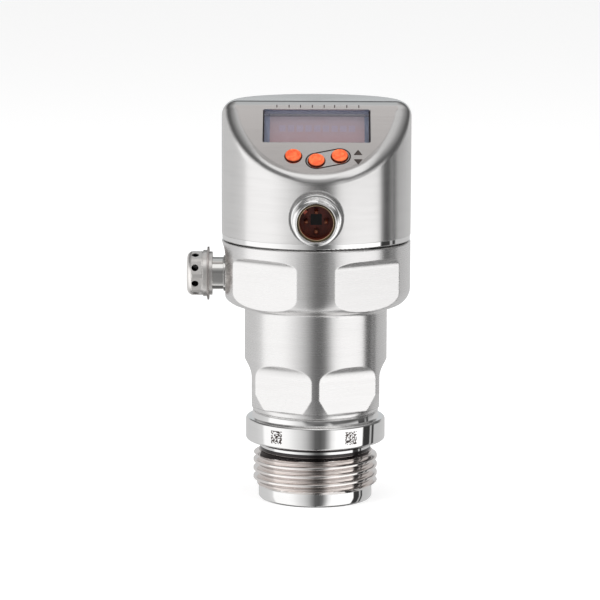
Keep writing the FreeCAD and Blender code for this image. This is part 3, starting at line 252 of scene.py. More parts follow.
def orange_button():
    """Orange silicone: a fine grain, uneven colour, and painted shade on the skirt, which turns
    dark below these heights out of the panel, where it sinks into its hole."""
    skirt_shade_low, skirt_shade_high = 0.26 * MM, 0.50 * MM
    paint = Paint("button_orange", (1.0, 0.17, 0.04), 0.0, 0.42)
    fine = paint.noise(paint.place, (3200,) * 3, 3.0, 0.6)
    cloud = paint.noise(paint.place, (700,) * 3, 3.0, 0.6)
    x, y, z = paint.split(paint.place)
    up = paint.math("MULTIPLY", paint.math("SUBTRACT", z, PANEL_FOOT * MM), SLOPE_COS)
    inwards = paint.math("MULTIPLY", paint.math("ADD", y, BODY * MM), SLOPE_SIN)
    out = paint.math("SUBTRACT", up, inwards)
    crown = paint.mix(paint.range(cloud, 0.38, 0.62, 0.0, 1.0), (0.84, 0.105, 0.025),
                      (1.0, 0.20, 0.06))
    # Painted shade: dark red-brown on the skirt below those heights
    paint.set("Base Color", paint.mix(paint.range(out, skirt_shade_low, skirt_shade_high, 0.0, 1.0),
                                      (0.10, 0.012, 0.004), crown))
    paint.set("Roughness", paint.range(fine, 0.3, 0.7, 0.36, 0.50))
    paint.set("Normal", paint.bump(fine, 0.012, paint.bevel(0.28)))
    paint.set("Subsurface Weight", 0.12)
    paint.set("Subsurface Radius", (0.0012, 0.0004, 0.0002))
    return paint.mat


def display_pane():
    """The clear pane: nearly see-through, with a glossy surface and very faint dust."""
    paint = Paint("display_glass", (0.62, 0.62, 0.72), 0.0, 0.05)
    dust = paint.noise(paint.place, (900,) * 3, 4.0, 0.7)
    paint.set("Alpha", paint.range(dust, 0.35, 0.8, 0.07, 0.14))
    paint.set("Roughness", paint.range(dust, 0.3, 0.8, 0.04, 0.12))
    paint.set("Normal", paint.bump(dust, 0.0008))
    paint.set("Coat Weight", 0.6)
    paint.set("Coat Roughness", 0.04)
    return paint.mat


def display_field():
    """Unlit display: mauve red, greyer above, with a fine lattice."""
    paint = Paint("display_field", (0.28, 0.13, 0.14), 0.0, 0.4)
    x, y, z = paint.split(paint.place)
    low, high = ((PANEL_FOOT + (WINDOW_MID + v) * SLOPE_SIN) * MM for v in (-5.5, 4.5))
    rise_up = paint.range(z, low, high, 0.0, 1.0)
    cloud = paint.noise(paint.place, (260, 260, 500), 3.0, 0.6)
    fade = paint.math("MULTIPLY_ADD", cloud, 0.5, paint.math("SUBTRACT", rise_up, 0.25))
    base = paint.mix(fade, (0.27, 0.15, 0.15), (0.25, 0.215, 0.235))
    lattice = paint.noise(paint.place, (2400,) * 3, 1.0, 0.4)
    paint.set("Base Color", paint.mix(paint.range(lattice, 0.4, 0.6, 0.0, 0.2), base,
                                      (0.18, 0.11, 0.13)))
    paint.set("Roughness", paint.range(lattice, 0.3, 0.7, 0.35, 0.5))
    return paint.mat


# Metals

satin = steel("satin_steel", (0.81, 0.80, 0.795), (0.755, 0.745, 0.74), 0.27, streak=0.0022,
              anisotropy=0.4, rounding=0.45, blotch=0.3)
satin_head = steel("satin_steel_head", (0.77, 0.76, 0.755), (0.71, 0.70, 0.695), 0.24,
                   streak=0.0020, anisotropy=0.3, rounding=0.22, blotch=0.3, milled=0.72)
vent_steel = steel("vent_disc_steel", (0.66, 0.62, 0.60), (0.54, 0.50, 0.48), 0.34)
ring_steel = steel("vent_ring_steel", (0.90, 0.88, 0.86), (0.84, 0.81, 0.79), 0.34)
cap_steel = steel("vent_cap_steel", (0.94, 0.92, 0.90), (0.88, 0.85, 0.82), 0.36,
                  painted_shade=vent_hollow_shade)
polished = steel("polished_steel", (0.87, 0.865, 0.86), (0.83, 0.825, 0.82), 0.05, spread=0.02,
                 streak=0.0008)
thread_steel = steel("thread_steel", (0.87, 0.83, 0.81), (0.72, 0.66, 0.63), 0.09, spread=0.04,
                     rounding=0.0, blotch=0.4, painted_shade=thread_root_shade)
# Painted shade: near-black steel on the relief, for the flange's shadow and the shaded first flank
# of the thread
relief_shade_steel = steel("relief_shade_steel", (0.060, 0.055, 0.055), (0.045, 0.04, 0.04), 0.25,
                     streak=0.002, rounding=0.0)
fine_steel = steel("fine_steel", (0.83, 0.82, 0.80), (0.76, 0.75, 0.735), 0.10, spread=0.04)
switch_metal = steel("switch_metal", (0.62, 0.62, 0.62), (0.5, 0.5, 0.5), 0.3, spread=0.1,
                     streak=0.003, rounding=0.1)
gold = steel("dull_contact", (0.50, 0.23, 0.14), (0.40, 0.17, 0.10), 0.42, spread=0.08,
             streak=0.002, rounding=0.08)

# Ceramic, rubber and plastics, and the inks of marks and dark lines; some paint shade, and one
# paints a highlight, as said at each

ceramic = plastic("ceramic", (0.86, 0.85, 0.80), (0.80, 0.79, 0.74), 0.32, 0.004, 1800)
# Rubber of the real seals, and also the painted shade in the gaps round the buttons
rubber_and_gap_shade = plastic("seal_rubber", (0.025, 0.025, 0.028), (0.04, 0.04, 0.042), 0.62)
board = plastic("circuit_board", (0.03, 0.16, 0.07), (0.02, 0.11, 0.05), 0.42, 0.01, 1500)
# Painted shade: the vent's membrane is near black for the shade seen through the cap's holes
membrane = plastic("membrane", (0.032, 0.031, 0.030), (0.022, 0.021, 0.020), 0.75, 0.03, 4000)
module = plastic("display_plastic", (0.10, 0.06, 0.08), (0.07, 0.045, 0.06), 0.5)
carrier = plastic("connector_plastic", (0.235, 0.038, 0.018), (0.110, 0.024, 0.014), 0.34,
                  0.01, 2200)
# Painted shade: dark ring in the gap between the plug's shell and its insert
mouth_shade = plastic("connector_mouth_shade", (0.050, 0.040, 0.016), (0.032, 0.026, 0.012), 0.34, 0.006)
# Painted shade: near black for the hollow in the middle of the plug's insert
hollow_shade = plastic("connector_hollow_shade", (0.014, 0.018, 0.017), (0.009, 0.012, 0.011), 0.4, 0.01)
# Painted highlight: tan for the light caught by the edge of the insert's rim
rim_highlight_tan = plastic("carrier_rim_highlight", (0.50, 0.37, 0.24), (0.38, 0.27, 0.17), 0.4, 0.006)
ink = plastic("engraved_dark", (0.034, 0.024, 0.022), (0.055, 0.042, 0.038), 0.6, 0.01, 3000)
etch = plastic("laser_etch", (0.030, 0.020, 0.018), (0.075, 0.055, 0.05), 0.6, 0.01, 3000)
# Ink of the printed line round two buttons, and also the painted shade in the gap round the pane
print_and_gap_shade_ink = plastic("printed_line_and_gap_shade", (0.012, 0.007, 0.006), (0.020, 0.012, 0.010), 0.55, 0.006,
                   3000)
bezel = plastic("display_border", (0.135, 0.16, 0.235), (0.10, 0.12, 0.19), 0.35, 0.004)
glyph = plastic("display_cells", (0.25, 0.22, 0.30), (0.22, 0.19, 0.26), 0.45, 0.003)
frame_grey = plastic("display_frame", (0.34, 0.34, 0.37), (0.29, 0.29, 0.32), 0.4, 0.004)
orange = orange_button()
pane = display_pane()
field = display_field()

CAD_LOOKS = {
    "housing_body": satin, "head_shell": satin_head, "seam_ring": polished,
    "measuring_cell": ceramic, "cell_seal": rubber_and_gap_shade, "cell_clamp_ring": polished,
    "sensor_board": board, "vent_stub": fine_steel, "vent_ring": ring_steel,
    "vent_disc": vent_steel, "vent_membrane": membrane, "vent_cap": cap_steel,
    "head_seal": rubber_and_gap_shade, "swivel_clip": switch_metal, "display_window": pane,
    "window_gasket": rubber_and_gap_shade, "display_module": module, "display_board": board,
    "board_posts": switch_metal, "button_switches": switch_metal,
    "connector_insert": carrier, "contact_pins": gold, "main_board": board,
    "button_left": orange, "button_middle": orange, "button_right": orange,
}
for name, look_mat in CAD_LOOKS.items():
    for slot in nodes[name].material_slots:
        slot.material = look_mat


# Mesh helpers

def add_piece(name, points, faces, materials, face_materials=None, body="head",
              sharp=35.0):
    """A mesh piece from points in millimetres, smooth but for edges sharper than sharp."""
    mesh = bpy.data.meshes.new(name)
    mesh.from_pydata([tuple(c * MM for c in p) for p in points], [], faces)
    for mat in materials:
        mesh.materials.append(mat)
    if face_materials is not None:
        mesh.polygons.foreach_set("material_index", face_materials)
    mesh.polygons.foreach_set("use_smooth", [True] * len(mesh.polygons))
    mesh.validate()
    mesh.set_sharp_from_angle(angle=math.radians(sharp))
    piece = bpy.data.objects.new(name, mesh)
    scene.collection.objects.link(piece)
    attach(piece, body)
    return piece


def lathe(rows, steps, radius_at, to_point):
    """Points and faces of a closed turned surface: rows of (radius, height, kind)."""
    points, faces = [], []
    for row in rows:
        for i in range(steps):
            turn = 2 * math.pi * i / steps
            points.append(to_point(radius_at(row, turn), turn, row[1]))
    for j in range(len(rows)):
        k = (j + 1) % len(rows)
        for i in range(steps):
            n = (i + 1) % steps
            faces.append((j * steps + i, j * steps + n, k * steps + n, k * steps + i))
    return points, faces


def loop_faces(sections, corners, start=0):
    """Faces of a closed loop of sections with the same number of corners each."""
    faces = []
    for i in range(sections):
        near, far = start + i * corners, start + (i + 1) % sections * corners
        for j in range(corners):
            k = (j + 1) % corners
            faces.append((near + j, far + j, far + k, near + k))
    return faces


def plain_radius(row, turn):
    return row[0]


def thread_form(away, flank, flat):
    """Height of a thread form, 1 on the crest and 0 in the root, by the distance from a crest
    in pitches. The crest is flat up to flat, and the root starts at flank."""
    away -= round(away)
    rise = min(1.0, max(0.0, (flank - abs(away)) / (flank - flat)))
    return rise * rise * (3 - 2 * rise)


def arc(center_r, center_z, radius, start, end, steps):
    return [(center_r + radius * math.cos(math.radians(start + (end - start) * i / steps)),
             center_z + radius * math.sin(math.radians(start + (end - start) * i / steps)))
            for i in range(steps + 1)]


def on_fitting(radius, turn, height):
    return (radius * math.cos(turn), radius * math.sin(turn), height)


def on_plug(radius, turn, reach):
    """A point from the plug's coordinates: off its axis, round it, out to the front."""
    return (radius * math.sin(turn), -reach, PLUG_Z + radius * math.cos(turn))


def on_panel(u, v, w):
    """A point from panel coordinates: across, up the slope, out of the surface."""
    return (u, -BODY + v * SLOPE_COS - w * SLOPE_SIN, PANEL_FOOT + v * SLOPE_SIN + w * SLOPE_COS)


# Process fitting: nose, helical thread, relief, flange, grooved collar, spigot and bore

# Outlines as steps inwards and up, with the look of each place where it changes
NOSE_EDGE = ((0.5, 0.0), (0.44, 0.02), (0.06, 0.44), (0.0, 0.55))
COLLAR_FILLET = ((-0.25, 0.0), (-0.07, 0.07), (0.0, 0.25))
COLLAR_GROOVE = ((0.0, -0.25, "flange"), (0.08, -0.15, "groove"), (0.35, -0.13, "groove"),
                 (0.35, 0.13, "groove"), (0.08, 0.15, "groove"), (0.0, 0.25, "collar"))
# The bright band between the bands of painted shade in the relief, and how fast one turns into the
# other
GLINT_LOW, GLINT_HIGH, BLEND = 14.15, 14.75, 0.05
THREAD_FLANK, THREAD_FLAT, THREAD_ROWS, FITTING_STEPS = 0.43, 0.10, 84, 336


def fitting_radius(row, turn):
    radius, height, kind = row
    if kind != "thread":
        return radius
    crest = CREST_AT_RIGHT + THREAD_PITCH * turn / (2 * math.pi)
    form = THREAD_ROOT + (THREAD_CREST - THREAD_ROOT) * thread_form(
        (height - crest) / THREAD_PITCH, THREAD_FLANK, THREAD_FLAT)
    lead_in = NOSE + (THREAD_CREST - NOSE) * (height - THREAD_LOW) / THREAD_CONE
    lead_out = RELIEF + (THREAD_CREST - RELIEF) * (THREAD_HIGH - height) / THREAD_CONE
    return min(form, lead_in, lead_out)


def make_fitting():
    """The fitting with a finer thread and soft edges, over the same form as the source."""
    rows = [(CELL_FACE, 0.0, "bore")]
    rows += [(NOSE - inwards, up, "nose") for inwards, up in NOSE_EDGE]
    rows += [(NOSE, 2.0, "nose"), (NOSE, THREAD_LOW - 0.2, "nose")]
    rows += [(0.0, THREAD_LOW + (THREAD_HIGH - THREAD_LOW) * i / THREAD_ROWS, "thread")
             for i in range(THREAD_ROWS + 1)]
    # Painted shade: rows of kind shade take the near-black steel, with the polished bright band
    # between them
    rows += [(RELIEF, THREAD_HIGH + BLEND, "shade"), (RELIEF, GLINT_LOW - BLEND, "shade"),
             (RELIEF, GLINT_LOW, "relief"), (RELIEF, GLINT_HIGH, "relief"),
             (RELIEF, GLINT_HIGH + BLEND, "shade"),
             (RELIEF, FLANGE_LOW - RELIEF_ROUND, "shade"),
             (RELIEF + 0.08, FLANGE_LOW - 0.08, "shade"),
             (RELIEF + RELIEF_ROUND, FLANGE_LOW, "shade"),
             (FLANGE - FLANGE_ROUND - 0.1, FLANGE_LOW, "flange")]
    edge = FLANGE - FLANGE_ROUND
    rows += [(r, z, "flange") for r, z in
             arc(edge, FLANGE_LOW + FLANGE_ROUND, FLANGE_ROUND, -90, 0, 8)
             + arc(edge, FLANGE_TOP - FLANGE_ROUND, FLANGE_ROUND, 0, 90, 8)]
    rows += [(COLLAR - inwards, FLANGE_TOP + up, "flange") for inwards, up in COLLAR_FILLET]
    rows += [(COLLAR - inwards, GROOVE_Z + up, kind) for inwards, up, kind in COLLAR_GROOVE]
    rows += [(COLLAR, COLLAR_TOP - 0.2, "collar"), (COLLAR - 0.2, COLLAR_TOP, "collar"),
             (SPIGOT, COLLAR_TOP, "collar"), (SPIGOT, SPIGOT_TOP - 0.1, "bore"),
             (SPIGOT - 0.1, SPIGOT_TOP, "bore"), (CELL_BORE, SPIGOT_TOP, "bore"),
             (CELL_BORE, CELL_LIP, "bore"), (CELL_FACE, CELL_LIP, "bore")]
    points, faces = lathe(rows, FITTING_STEPS, fitting_radius, on_fitting)
    materials = [polished, thread_steel, satin, relief_shade_steel]
    look_of = {"bore": 0, "nose": 0, "thread": 1, "relief": 0, "flange": 0, "groove": 2,
               "collar": 2, "shade": 3}
    looks = [look_of[row[2]] for row in rows for _ in range(FITTING_STEPS)]
    piece = add_piece("threaded_fitting", points, faces, materials, looks, body="base",
                      sharp=50.0)
    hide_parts("process_fitting")


# Plug: threaded shell, the insert's rim with a painted highlight, and painted shade in its mouth
# and in the hollow of its insert

PLUG_FLANK, PLUG_FLAT, PLUG_LEAD = 0.42, 0.10, 0.9
PLUG_THREAD_ROWS, PLUG_STEPS, RING_STEPS = 66, 144, 96
# The round rim of the insert, with its tan painted highlight: its radius and half thickness, and
# its depth behind the front
RIM, RIM_THICK, RIM_SIDES, RIM_DEPTH = 4.42, 0.06, 12, 0.62
# The ring of painted shade in the mouth, as radius and depth behind the front, and the square
# block of painted shade for the hollow
MOUTH_SHADE_SECTION = ((4.46, 0.95), (4.47, 0.60), (4.70, 0.30), (4.86, 0.16), (4.89, 0.18), (4.89, 0.95))
CENTER_HALF, CENTER_RISE, CENTER_BACK, CENTER_FRONT = 1.42, 0.12, -0.05, 0.015


def shell_radius(row, turn):
    radius, reach, kind = row
    if kind != "thread":
        return radius
    form = PLUG_ROOT + (PLUG - PLUG_ROOT) * thread_form(reach - turn / (2 * math.pi), PLUG_FLANK,
                                                        PLUG_FLAT)
    lead = PLUG_ROOT + (PLUG_FRONT - 0.1 - reach) * PLUG_LEAD
    return max(PLUG_ROOT, min(form, lead))


def make_plug_shell():
    rows = [(PLUG_BORE, PLUG_BACK, "bore"), (PLUG_SHANK, PLUG_BACK, "bore"),
            (PLUG_SHANK, PLUG_COLLAR_LOW - 0.05, "bore"),
            (PLUG_SHANK + 0.15, PLUG_COLLAR_LOW, "outside"),
            (PLUG_COLLAR - 0.15, PLUG_COLLAR_LOW, "outside"),
            (PLUG_COLLAR, PLUG_COLLAR_LOW + 0.15, "outside"),
            (PLUG_COLLAR, PLUG_COLLAR_HIGH - 0.2, "outside"),
            (PLUG_COLLAR - 0.2, PLUG_COLLAR_HIGH, "outside"),
            (PLUG_ROOT + 0.12, PLUG_COLLAR_HIGH, "outside"),
            (PLUG_ROOT + 0.04, PLUG_COLLAR_HIGH + 0.1, "outside"),
            (PLUG_ROOT + 0.02, PLUG_THREAD_LOW - 0.1, "outside")]
    rows += [(0.0, PLUG_THREAD_LOW + PLUG_THREAD_LENGTH * i / PLUG_THREAD_ROWS, "thread")
             for i in range(PLUG_THREAD_ROWS + 1)]
    rows += [(PLUG_ROOT, PLUG_FRONT - 0.4, "outside"),
             (PLUG_ROOT - 0.08, PLUG_FRONT - 0.12, "outside"),
             (PLUG_ROOT - 0.18, PLUG_FRONT, "outside"),
             (PLUG_BORE + 0.12, PLUG_FRONT, "outside"),
             (PLUG_BORE, PLUG_FRONT - 0.12, "bore")]
    points, faces = lathe(rows, PLUG_STEPS, shell_radius, on_plug)
    looks = [int(row[2] == "bore") for row in rows for _ in range(PLUG_STEPS)]
    piece = add_piece("plug_shell", points, faces, [polished, fine_steel], looks,
                      sharp=50.0)
    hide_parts("connector_shell")


def make_plug_mouth():
    # The insert's rim is a real edge, its tan colour a painted highlight
    turns = [2 * math.pi * j / RIM_SIDES for j in range(RIM_SIDES)]
    rim = [(RIM + RIM_THICK * math.cos(a), PLUG_FRONT - RIM_DEPTH + RIM_THICK * math.sin(a))
           for a in turns]
    points, faces = lathe(rim, RING_STEPS, plain_radius, on_plug)
    add_piece("carrier_rim_ring", points, faces, [rim_highlight_tan], sharp=80.0)
    # Painted shade: a dark ring in the gap round the insert, inside the shell's mouth
    mouth_shade_outline = [(radius, PLUG_FRONT - depth) for radius, depth in MOUTH_SHADE_SECTION]
    points, faces = lathe(mouth_shade_outline, RING_STEPS, plain_radius, on_plug)
    add_piece("plug_mouth_shade_ring", points, faces, [mouth_shade])
    # Painted shade: a dark square block on the insert's face for its centre hollow
    corners = [(-CENTER_HALF, -CENTER_HALF), (CENTER_HALF, -CENTER_HALF),
               (CENTER_HALF, CENTER_HALF), (-CENTER_HALF, CENTER_HALF)]
    points = [(x, -INSERT_FACE - out, PLUG_Z + CENTER_RISE + z)
              for out in (CENTER_BACK, CENTER_FRONT) for x, z in corners]
    faces = [(0, 1, 2, 3), (7, 6, 5, 4), (0, 4, 5, 1), (1, 5, 6, 2), (2, 6, 7, 3), (3, 7, 4, 0)]
    add_piece("plug_center_hollow_shade", points, faces, [hollow_shade],
              sharp=20.0)


# Inlaid marks on the panel: ticks, two arrows, a line round two buttons, and rings of painted
# shade in the button gaps

INLAY_LOW, INLAY_HIGH = -0.03, 0.012
TICKS, TICK_V = (-10.45, -7.25, -4.25, -1.15, 1.95, 4.7, 7.9, 11.05), 26.05
TICK_HALF_U, TICK_HALF_V, TICK_CUT = 0.13, 0.5, 0.04
ARROW_UP = ((9.75, 8.55), (11.75, 8.55), (11.85, 8.7), (10.83, 10.35), (10.67, 10.35),
            (9.65, 8.7))
ARROW_DOWN = ((9.65, 6.95), (10.67, 5.3), (10.83, 5.3), (11.85, 6.95), (11.75, 7.1), (9.75, 7.1))
# Sections of the rings round the buttons, the printed line and the painted shade in the gaps:
# radius, and height out of the panel
OUTLINE_SECTION = ((2.48, INLAY_LOW), (2.50, INLAY_HIGH), (2.90, INLAY_HIGH), (2.92, INLAY_LOW))
OUTLINE_STEPS = 40
GAP_SHADE_SECTION = ((2.21, -1.2), (2.21, -0.32), (2.25, -0.25), (2.35, -0.22), (2.35, -1.2))
GAP_SHADE_STEPS = 48


def add_plates(name, plates, material):
    """A piece of closed plates, each an outline in panel coordinates and its two heights."""
    points, faces = [], []
    for outline, low, high in plates:
        start, count = len(points), len(outline)
        points += [on_panel(u, v, w) for w in (low, high) for u, v in outline]
        faces.append(tuple(start + count + i for i in range(count)))
        faces.append(tuple(start + count - 1 - i for i in range(count)))
        for i in range(count):
            n = (i + 1) % count
            faces.append((start + i, start + n, start + count + n, start + count + i))
    add_piece(name, points, faces, [material])


def inlaid(outlines):
    """Plates of the marks that are inlaid in the panel's surface."""
    return [(outline, INLAY_LOW, INLAY_HIGH) for outline in outlines]


def box_outline(u, v, half_u, half_v, cut=0.0):
    """A box in panel coordinates, with its corners cut where that is asked for."""
    if not cut:
        return [(u - half_u, v - half_v), (u + half_u, v - half_v), (u + half_u, v + half_v),
                (u - half_u, v + half_v)]
    return [(u - half_u + cut, v - half_v), (u + half_u - cut, v - half_v),
            (u + half_u, v - half_v + cut), (u + half_u, v + half_v - cut),
            (u + half_u - cut, v + half_v), (u - half_u + cut, v + half_v),
            (u - half_u, v + half_v - cut), (u - half_u, v - half_v + cut)]


def section_at(u, v, turn, section):
    """Corners of a ring's section, where the ring lies round (u, v) on the panel."""
    return [on_panel(u + radius * math.cos(turn), v + radius * math.sin(turn), out)
            for radius, out in section]


def make_panel_marks():
    ticks = [box_outline(u, TICK_V, TICK_HALF_U, TICK_HALF_V, TICK_CUT) for u in TICKS]
    add_plates("panel_ticks", inlaid(ticks), ink)
    add_plates("panel_arrows", inlaid([ARROW_UP, ARROW_DOWN]), ink)


def make_button_outline():
    """One engraved line round the middle and the right button."""
    (u0, v0), (u1, v1) = BUTTONS[1], BUTTONS[2]
    lean = math.atan2(v1 - v0, u1 - u0)
    points = []
    for u, v, first in ((u0, v0, lean + math.pi / 2), (u1, v1, lean - math.pi / 2)):
        for i in range(OUTLINE_STEPS):
            turn = first + math.pi * i / (OUTLINE_STEPS - 1)
            points += section_at(u, v, turn, OUTLINE_SECTION)
    faces = loop_faces(2 * OUTLINE_STEPS, len(OUTLINE_SECTION))
    add_piece("button_outline", points, faces, [print_and_gap_shade_ink])


def make_button_gap_shades():
    """A dark ring of painted shade in the gap round each button, below the panel surface."""
    points, faces = [], []
    for u, v in BUTTONS:
        faces += loop_faces(GAP_SHADE_STEPS, len(GAP_SHADE_SECTION), len(points))
        for i in range(GAP_SHADE_STEPS):
            points += section_at(u, v, 2 * math.pi * i / GAP_SHADE_STEPS, GAP_SHADE_SECTION)
    add_piece("button_gap_shade_rings", points, faces, [rubber_and_gap_shade])


# Display behind the pane: field, border, strips on the walls, edge lines of painted shade and
# unlit cells

FIELD_LEFT, FIELD_RIGHT, FIELD_BACK, FIELD_FACE = -12.25, 12.55, -2.98, -2.66
WALL_LOW, WALL_HIGH, WALL_THIN, GREY_LOW, GREY_HIGH = -1.75, -0.45, 0.012, -2.6, -1.78
# Painted shade: dark lines along the pane's edge for the shaded gap between pane and steel, by
# place from the window's middle, half width and half height
LINE_LOW, LINE_HIGH = -0.63, -0.57
EDGE_SHADE_LINES = ((-13.86, 0.0, 0.17, 5.9), (13.84, 0.0, 0.19, 5.9), (0.0, -5.9, 13.6, 0.09))
CELLS, CELL_COLUMNS, CELL_ROWS = 9, 4, 5
CELL_START_U, CELL_START_V, CELL_PITCH = -9.6, 0.6, 2.28
DOT_PITCH_U, DOT_PITCH_V, DOT_HALF_U, DOT_HALF_V = 0.42, 0.46, 0.15, 0.17


def make_display_field():
    face = box_outline(0.0, WINDOW_MID, WINDOW_HALF - 0.02, WINDOW_HIGH - 0.02, 0.4)
    add_plates("display_face", [(face, FIELD_BACK, FIELD_FACE)], field)


def make_display_border():
    """Two wide strips beside the field, thin ones on the window's walls, lines of painted shade at
    its edge.
    """
    half, high = WINDOW_HALF - 0.05, WINDOW_HIGH - 0.05
    strips = [box_outline((FIELD_LEFT - half) / 2, WINDOW_MID, (half + FIELD_LEFT) / 2, high, 0.1),
              box_outline((FIELD_RIGHT + half) / 2, WINDOW_MID, (half - FIELD_RIGHT) / 2, high,
                          0.1)]
    wall_u, wall_v = WINDOW_HALF - 0.022, WINDOW_HIGH - 0.022
    walls = [box_outline(0.0, WINDOW_MID + wall_v, half, WALL_THIN),
             box_outline(-wall_u, WINDOW_MID, WALL_THIN, high),
             box_outline(wall_u, WINDOW_MID, WALL_THIN, high)]
    plates = [(strip, FIELD_FACE - 0.02, FIELD_FACE + 0.06) for strip in strips]
    plates += [(wall, WALL_LOW, WALL_HIGH) for wall in walls]
    add_plates("display_border_strips", plates, bezel)
    lines = [(box_outline(u, WINDOW_MID + v, half_u, half_v), LINE_LOW, LINE_HIGH)
             for u, v, half_u, half_v in EDGE_SHADE_LINES]
    add_plates("display_gap_shade_lines", lines, print_and_gap_shade_ink)
    above = box_outline((FIELD_LEFT + FIELD_RIGHT) / 2, WINDOW_MID + WINDOW_HIGH - 0.03,
                        (FIELD_RIGHT - FIELD_LEFT) / 2, 0.02)
    add_plates("display_frame_strip", [(above, GREY_LOW, GREY_HIGH)], frame_grey)


def make_display_cells():
    dots = [box_outline(CELL_START_U + cell * CELL_PITCH + column * DOT_PITCH_U,
                        WINDOW_MID + CELL_START_V + row * DOT_PITCH_V, DOT_HALF_U, DOT_HALF_V)
            for cell in range(CELLS) for column in range(CELL_COLUMNS) for row in range(CELL_ROWS)]
    add_plates("display_cells", [(dot, FIELD_FACE - 0.02, FIELD_FACE + 0.02) for dot in dots],
               glyph)


# Two fields of seeded generic modules on the flange

# How many modules lie on a side, their size, and the shares of it and of them that are filled
MODULES, MODULE, MODULE_SHARE, MODULE_FILL = 14, 0.245, 0.98, 0.56
# Height of the fields' middle, and the degrees of each from the front towards the right
MODULES_Z, MODULES_AT = 19.05, (("left", -33.4), ("right", 30.4))
MODULE_FACES = ((1, 3, 5, 7), (6, 4, 2, 0), (0, 2, 3, 1), (2, 4, 5, 3), (4, 6, 7, 5), (6, 0, 1, 7))


def make_flange_marks():
    rng = random.Random(31)
    wide = MODULE * MODULE_SHARE
    for side, angle in MODULES_AT:
        points, faces = [], []
        for a in range(MODULES):
            for b in range(MODULES):
                if rng.random() > MODULE_FILL:
                    continue
                z0 = MODULES_Z + (b - MODULES / 2) * MODULE
                t0 = math.radians(angle) + (a - MODULES / 2) * MODULE / FLANGE
                start = len(points)
                for dt, dz in ((0, 0), (1, 0), (1, 1), (0, 1)):
                    t = t0 + dt * wide / FLANGE
                    for r in (FLANGE - 0.02, FLANGE + 0.012):
                        points.append((r * math.sin(t), -r * math.cos(t), z0 + dz * wide))
                faces += [tuple(start + i for i in face) for face in MODULE_FACES]
        add_piece("flange_modules_" + side, points, faces, [etch], body="base", sharp=20.0)


make_fitting()
make_plug_shell()
make_plug_mouth()
make_panel_marks()
make_button_outline()
make_display_field()
make_display_border()
make_display_cells()
make_flange_marks()
make_button_gap_shades()


# Floor, surroundings and light, in metres, degrees and watts

FLOOR_HALF, FLOOR_GLOW = 9, 0.27

# Shades of the cards that stand round the object and that its metal mirrors: degrees from
# the front towards the right, and how bright the card is there
CARDS = ((-180, 0.60), (-112, 0.69), (-97, 0.78), (-91, 1.16), (-56, 1.18), (-45, 1.10),
         (-34, 0.91), (-23, 0.73), (-15, 0.55), (-7, 0.31), (0, 0.13), (8, 0.105), (15, 0.18),
         (21, 0.50), (27, 0.96), (34, 1.20), (42, 1.26), (83, 1.26), (85, 0.045), (100, 0.045),
         (101.5, 0.52), (104.5, 0.52), (106, 0.05), (110.5, 0.05), (112.5, 0.56), (150, 0.62),
         (180, 0.60))
# The same upwards, by degrees above the horizon less a lift that differs to the left and to
# the right: before the object, to its front corners and beside it. Over all of them lies the
# ceiling, darker towards the front
BEFORE = ((-90, 0.16), (14, 0.16), (22, 0.22), (29, 0.32), (36, 0.40), (43, 0.52), (48, 1.08),
          (90, 1.08))
CORNER = ((-90, 0.16), (29, 0.16), (36, 1.05), (90, 1.05))
BESIDE = ((-90, 0.12), (26, 0.12), (35, 0.22), (47, 0.37), (58, 0.54), (66, 0.63), (90, 0.72))
# Degrees by which they begin higher away from the front, and lower again to the right
SIDE_LIFT, RIGHT_LIFT = 14.0, 21.0
# The even card behind, the share taken off it high up, and the shares left far below
BACK_CARD, REAR_DIMMING = (0.60, 0.62, 0.63), 0.86
LOW_BESIDE, LOW_BEHIND = 0.85, 0.22
# The ceiling: its shade up to the zenith and the one from this slope behind it, its warm tint
# and the share of that, and how much lower its edge comes per radian away from the front
CEILING_FRONT, CEILING_BACK, CEILING_SLOPE = 0.38, 0.80, 0.065
CEILING_TINT, CEILING_WARMTH, CEILING_DROP = (1.0, 0.93, 0.90, 1), 0.6, 0.42
# Directions are counted from a point on the axis at this height
SURROUND_MIDDLE = 0.06
SURROUND_OUTLINE = ((0.001, -0.60), (0.4, -0.55), (0.60, -0.40), (0.62, -0.2), (0.62, 0.12),
                    (0.62, 0.5), (0.52, 0.78), (0.3, 0.95), (0.001, 1.0))
SURROUND_STEPS = 96


def stage_object(name, mesh, mat):
    obj = bpy.data.objects.new(name, mesh)
    scene.collection.objects.link(obj)
    mesh.materials.append(mat)
    return obj


def floor_paint():
    """Matte white board: its own colour, and the white background for what looks straight or
    by reflection at it. The object's shadow stays."""
    paint = Paint("floor_board", (0.90, 0.90, 0.90), 0.0, 0.85)
    grain = paint.noise(paint.place, (400,) * 3, 3.0, 0.6)
    paint.set("Base Color", paint.mix(grain, (0.88, 0.88, 0.88), (0.92, 0.92, 0.92)))
    ways = paint.node("ShaderNodeLightPath").outputs
    seen = paint.math("MAXIMUM", ways["Is Camera Ray"],
                      paint.math("MAXIMUM", ways["Is Glossy Ray"], ways["Is Transmission Ray"]))
    strength = paint.math("MULTIPLY", seen, FLOOR_GLOW)
    glow = paint.node("ShaderNodeEmission", {"Color": (1, 1, 1, 1),
                                             "Strength": strength}).outputs[0]
    paint.show(paint.node("ShaderNodeAddShader", {0: paint.bsdf.outputs[0], 1: glow}).outputs[0])
    return paint.mat


def make_floor():
    mesh = bpy.data.meshes.new("floor")
    corners = ((-1, -1), (1, -1), (1, 1), (-1, 1))
    mesh.from_pydata([(x * FLOOR_HALF, y * FLOOR_HALF, 0) for x, y in corners], [],
                     [(0, 1, 2, 3)])
    stage_object("floor", mesh, floor_paint()).visible_glossy = False


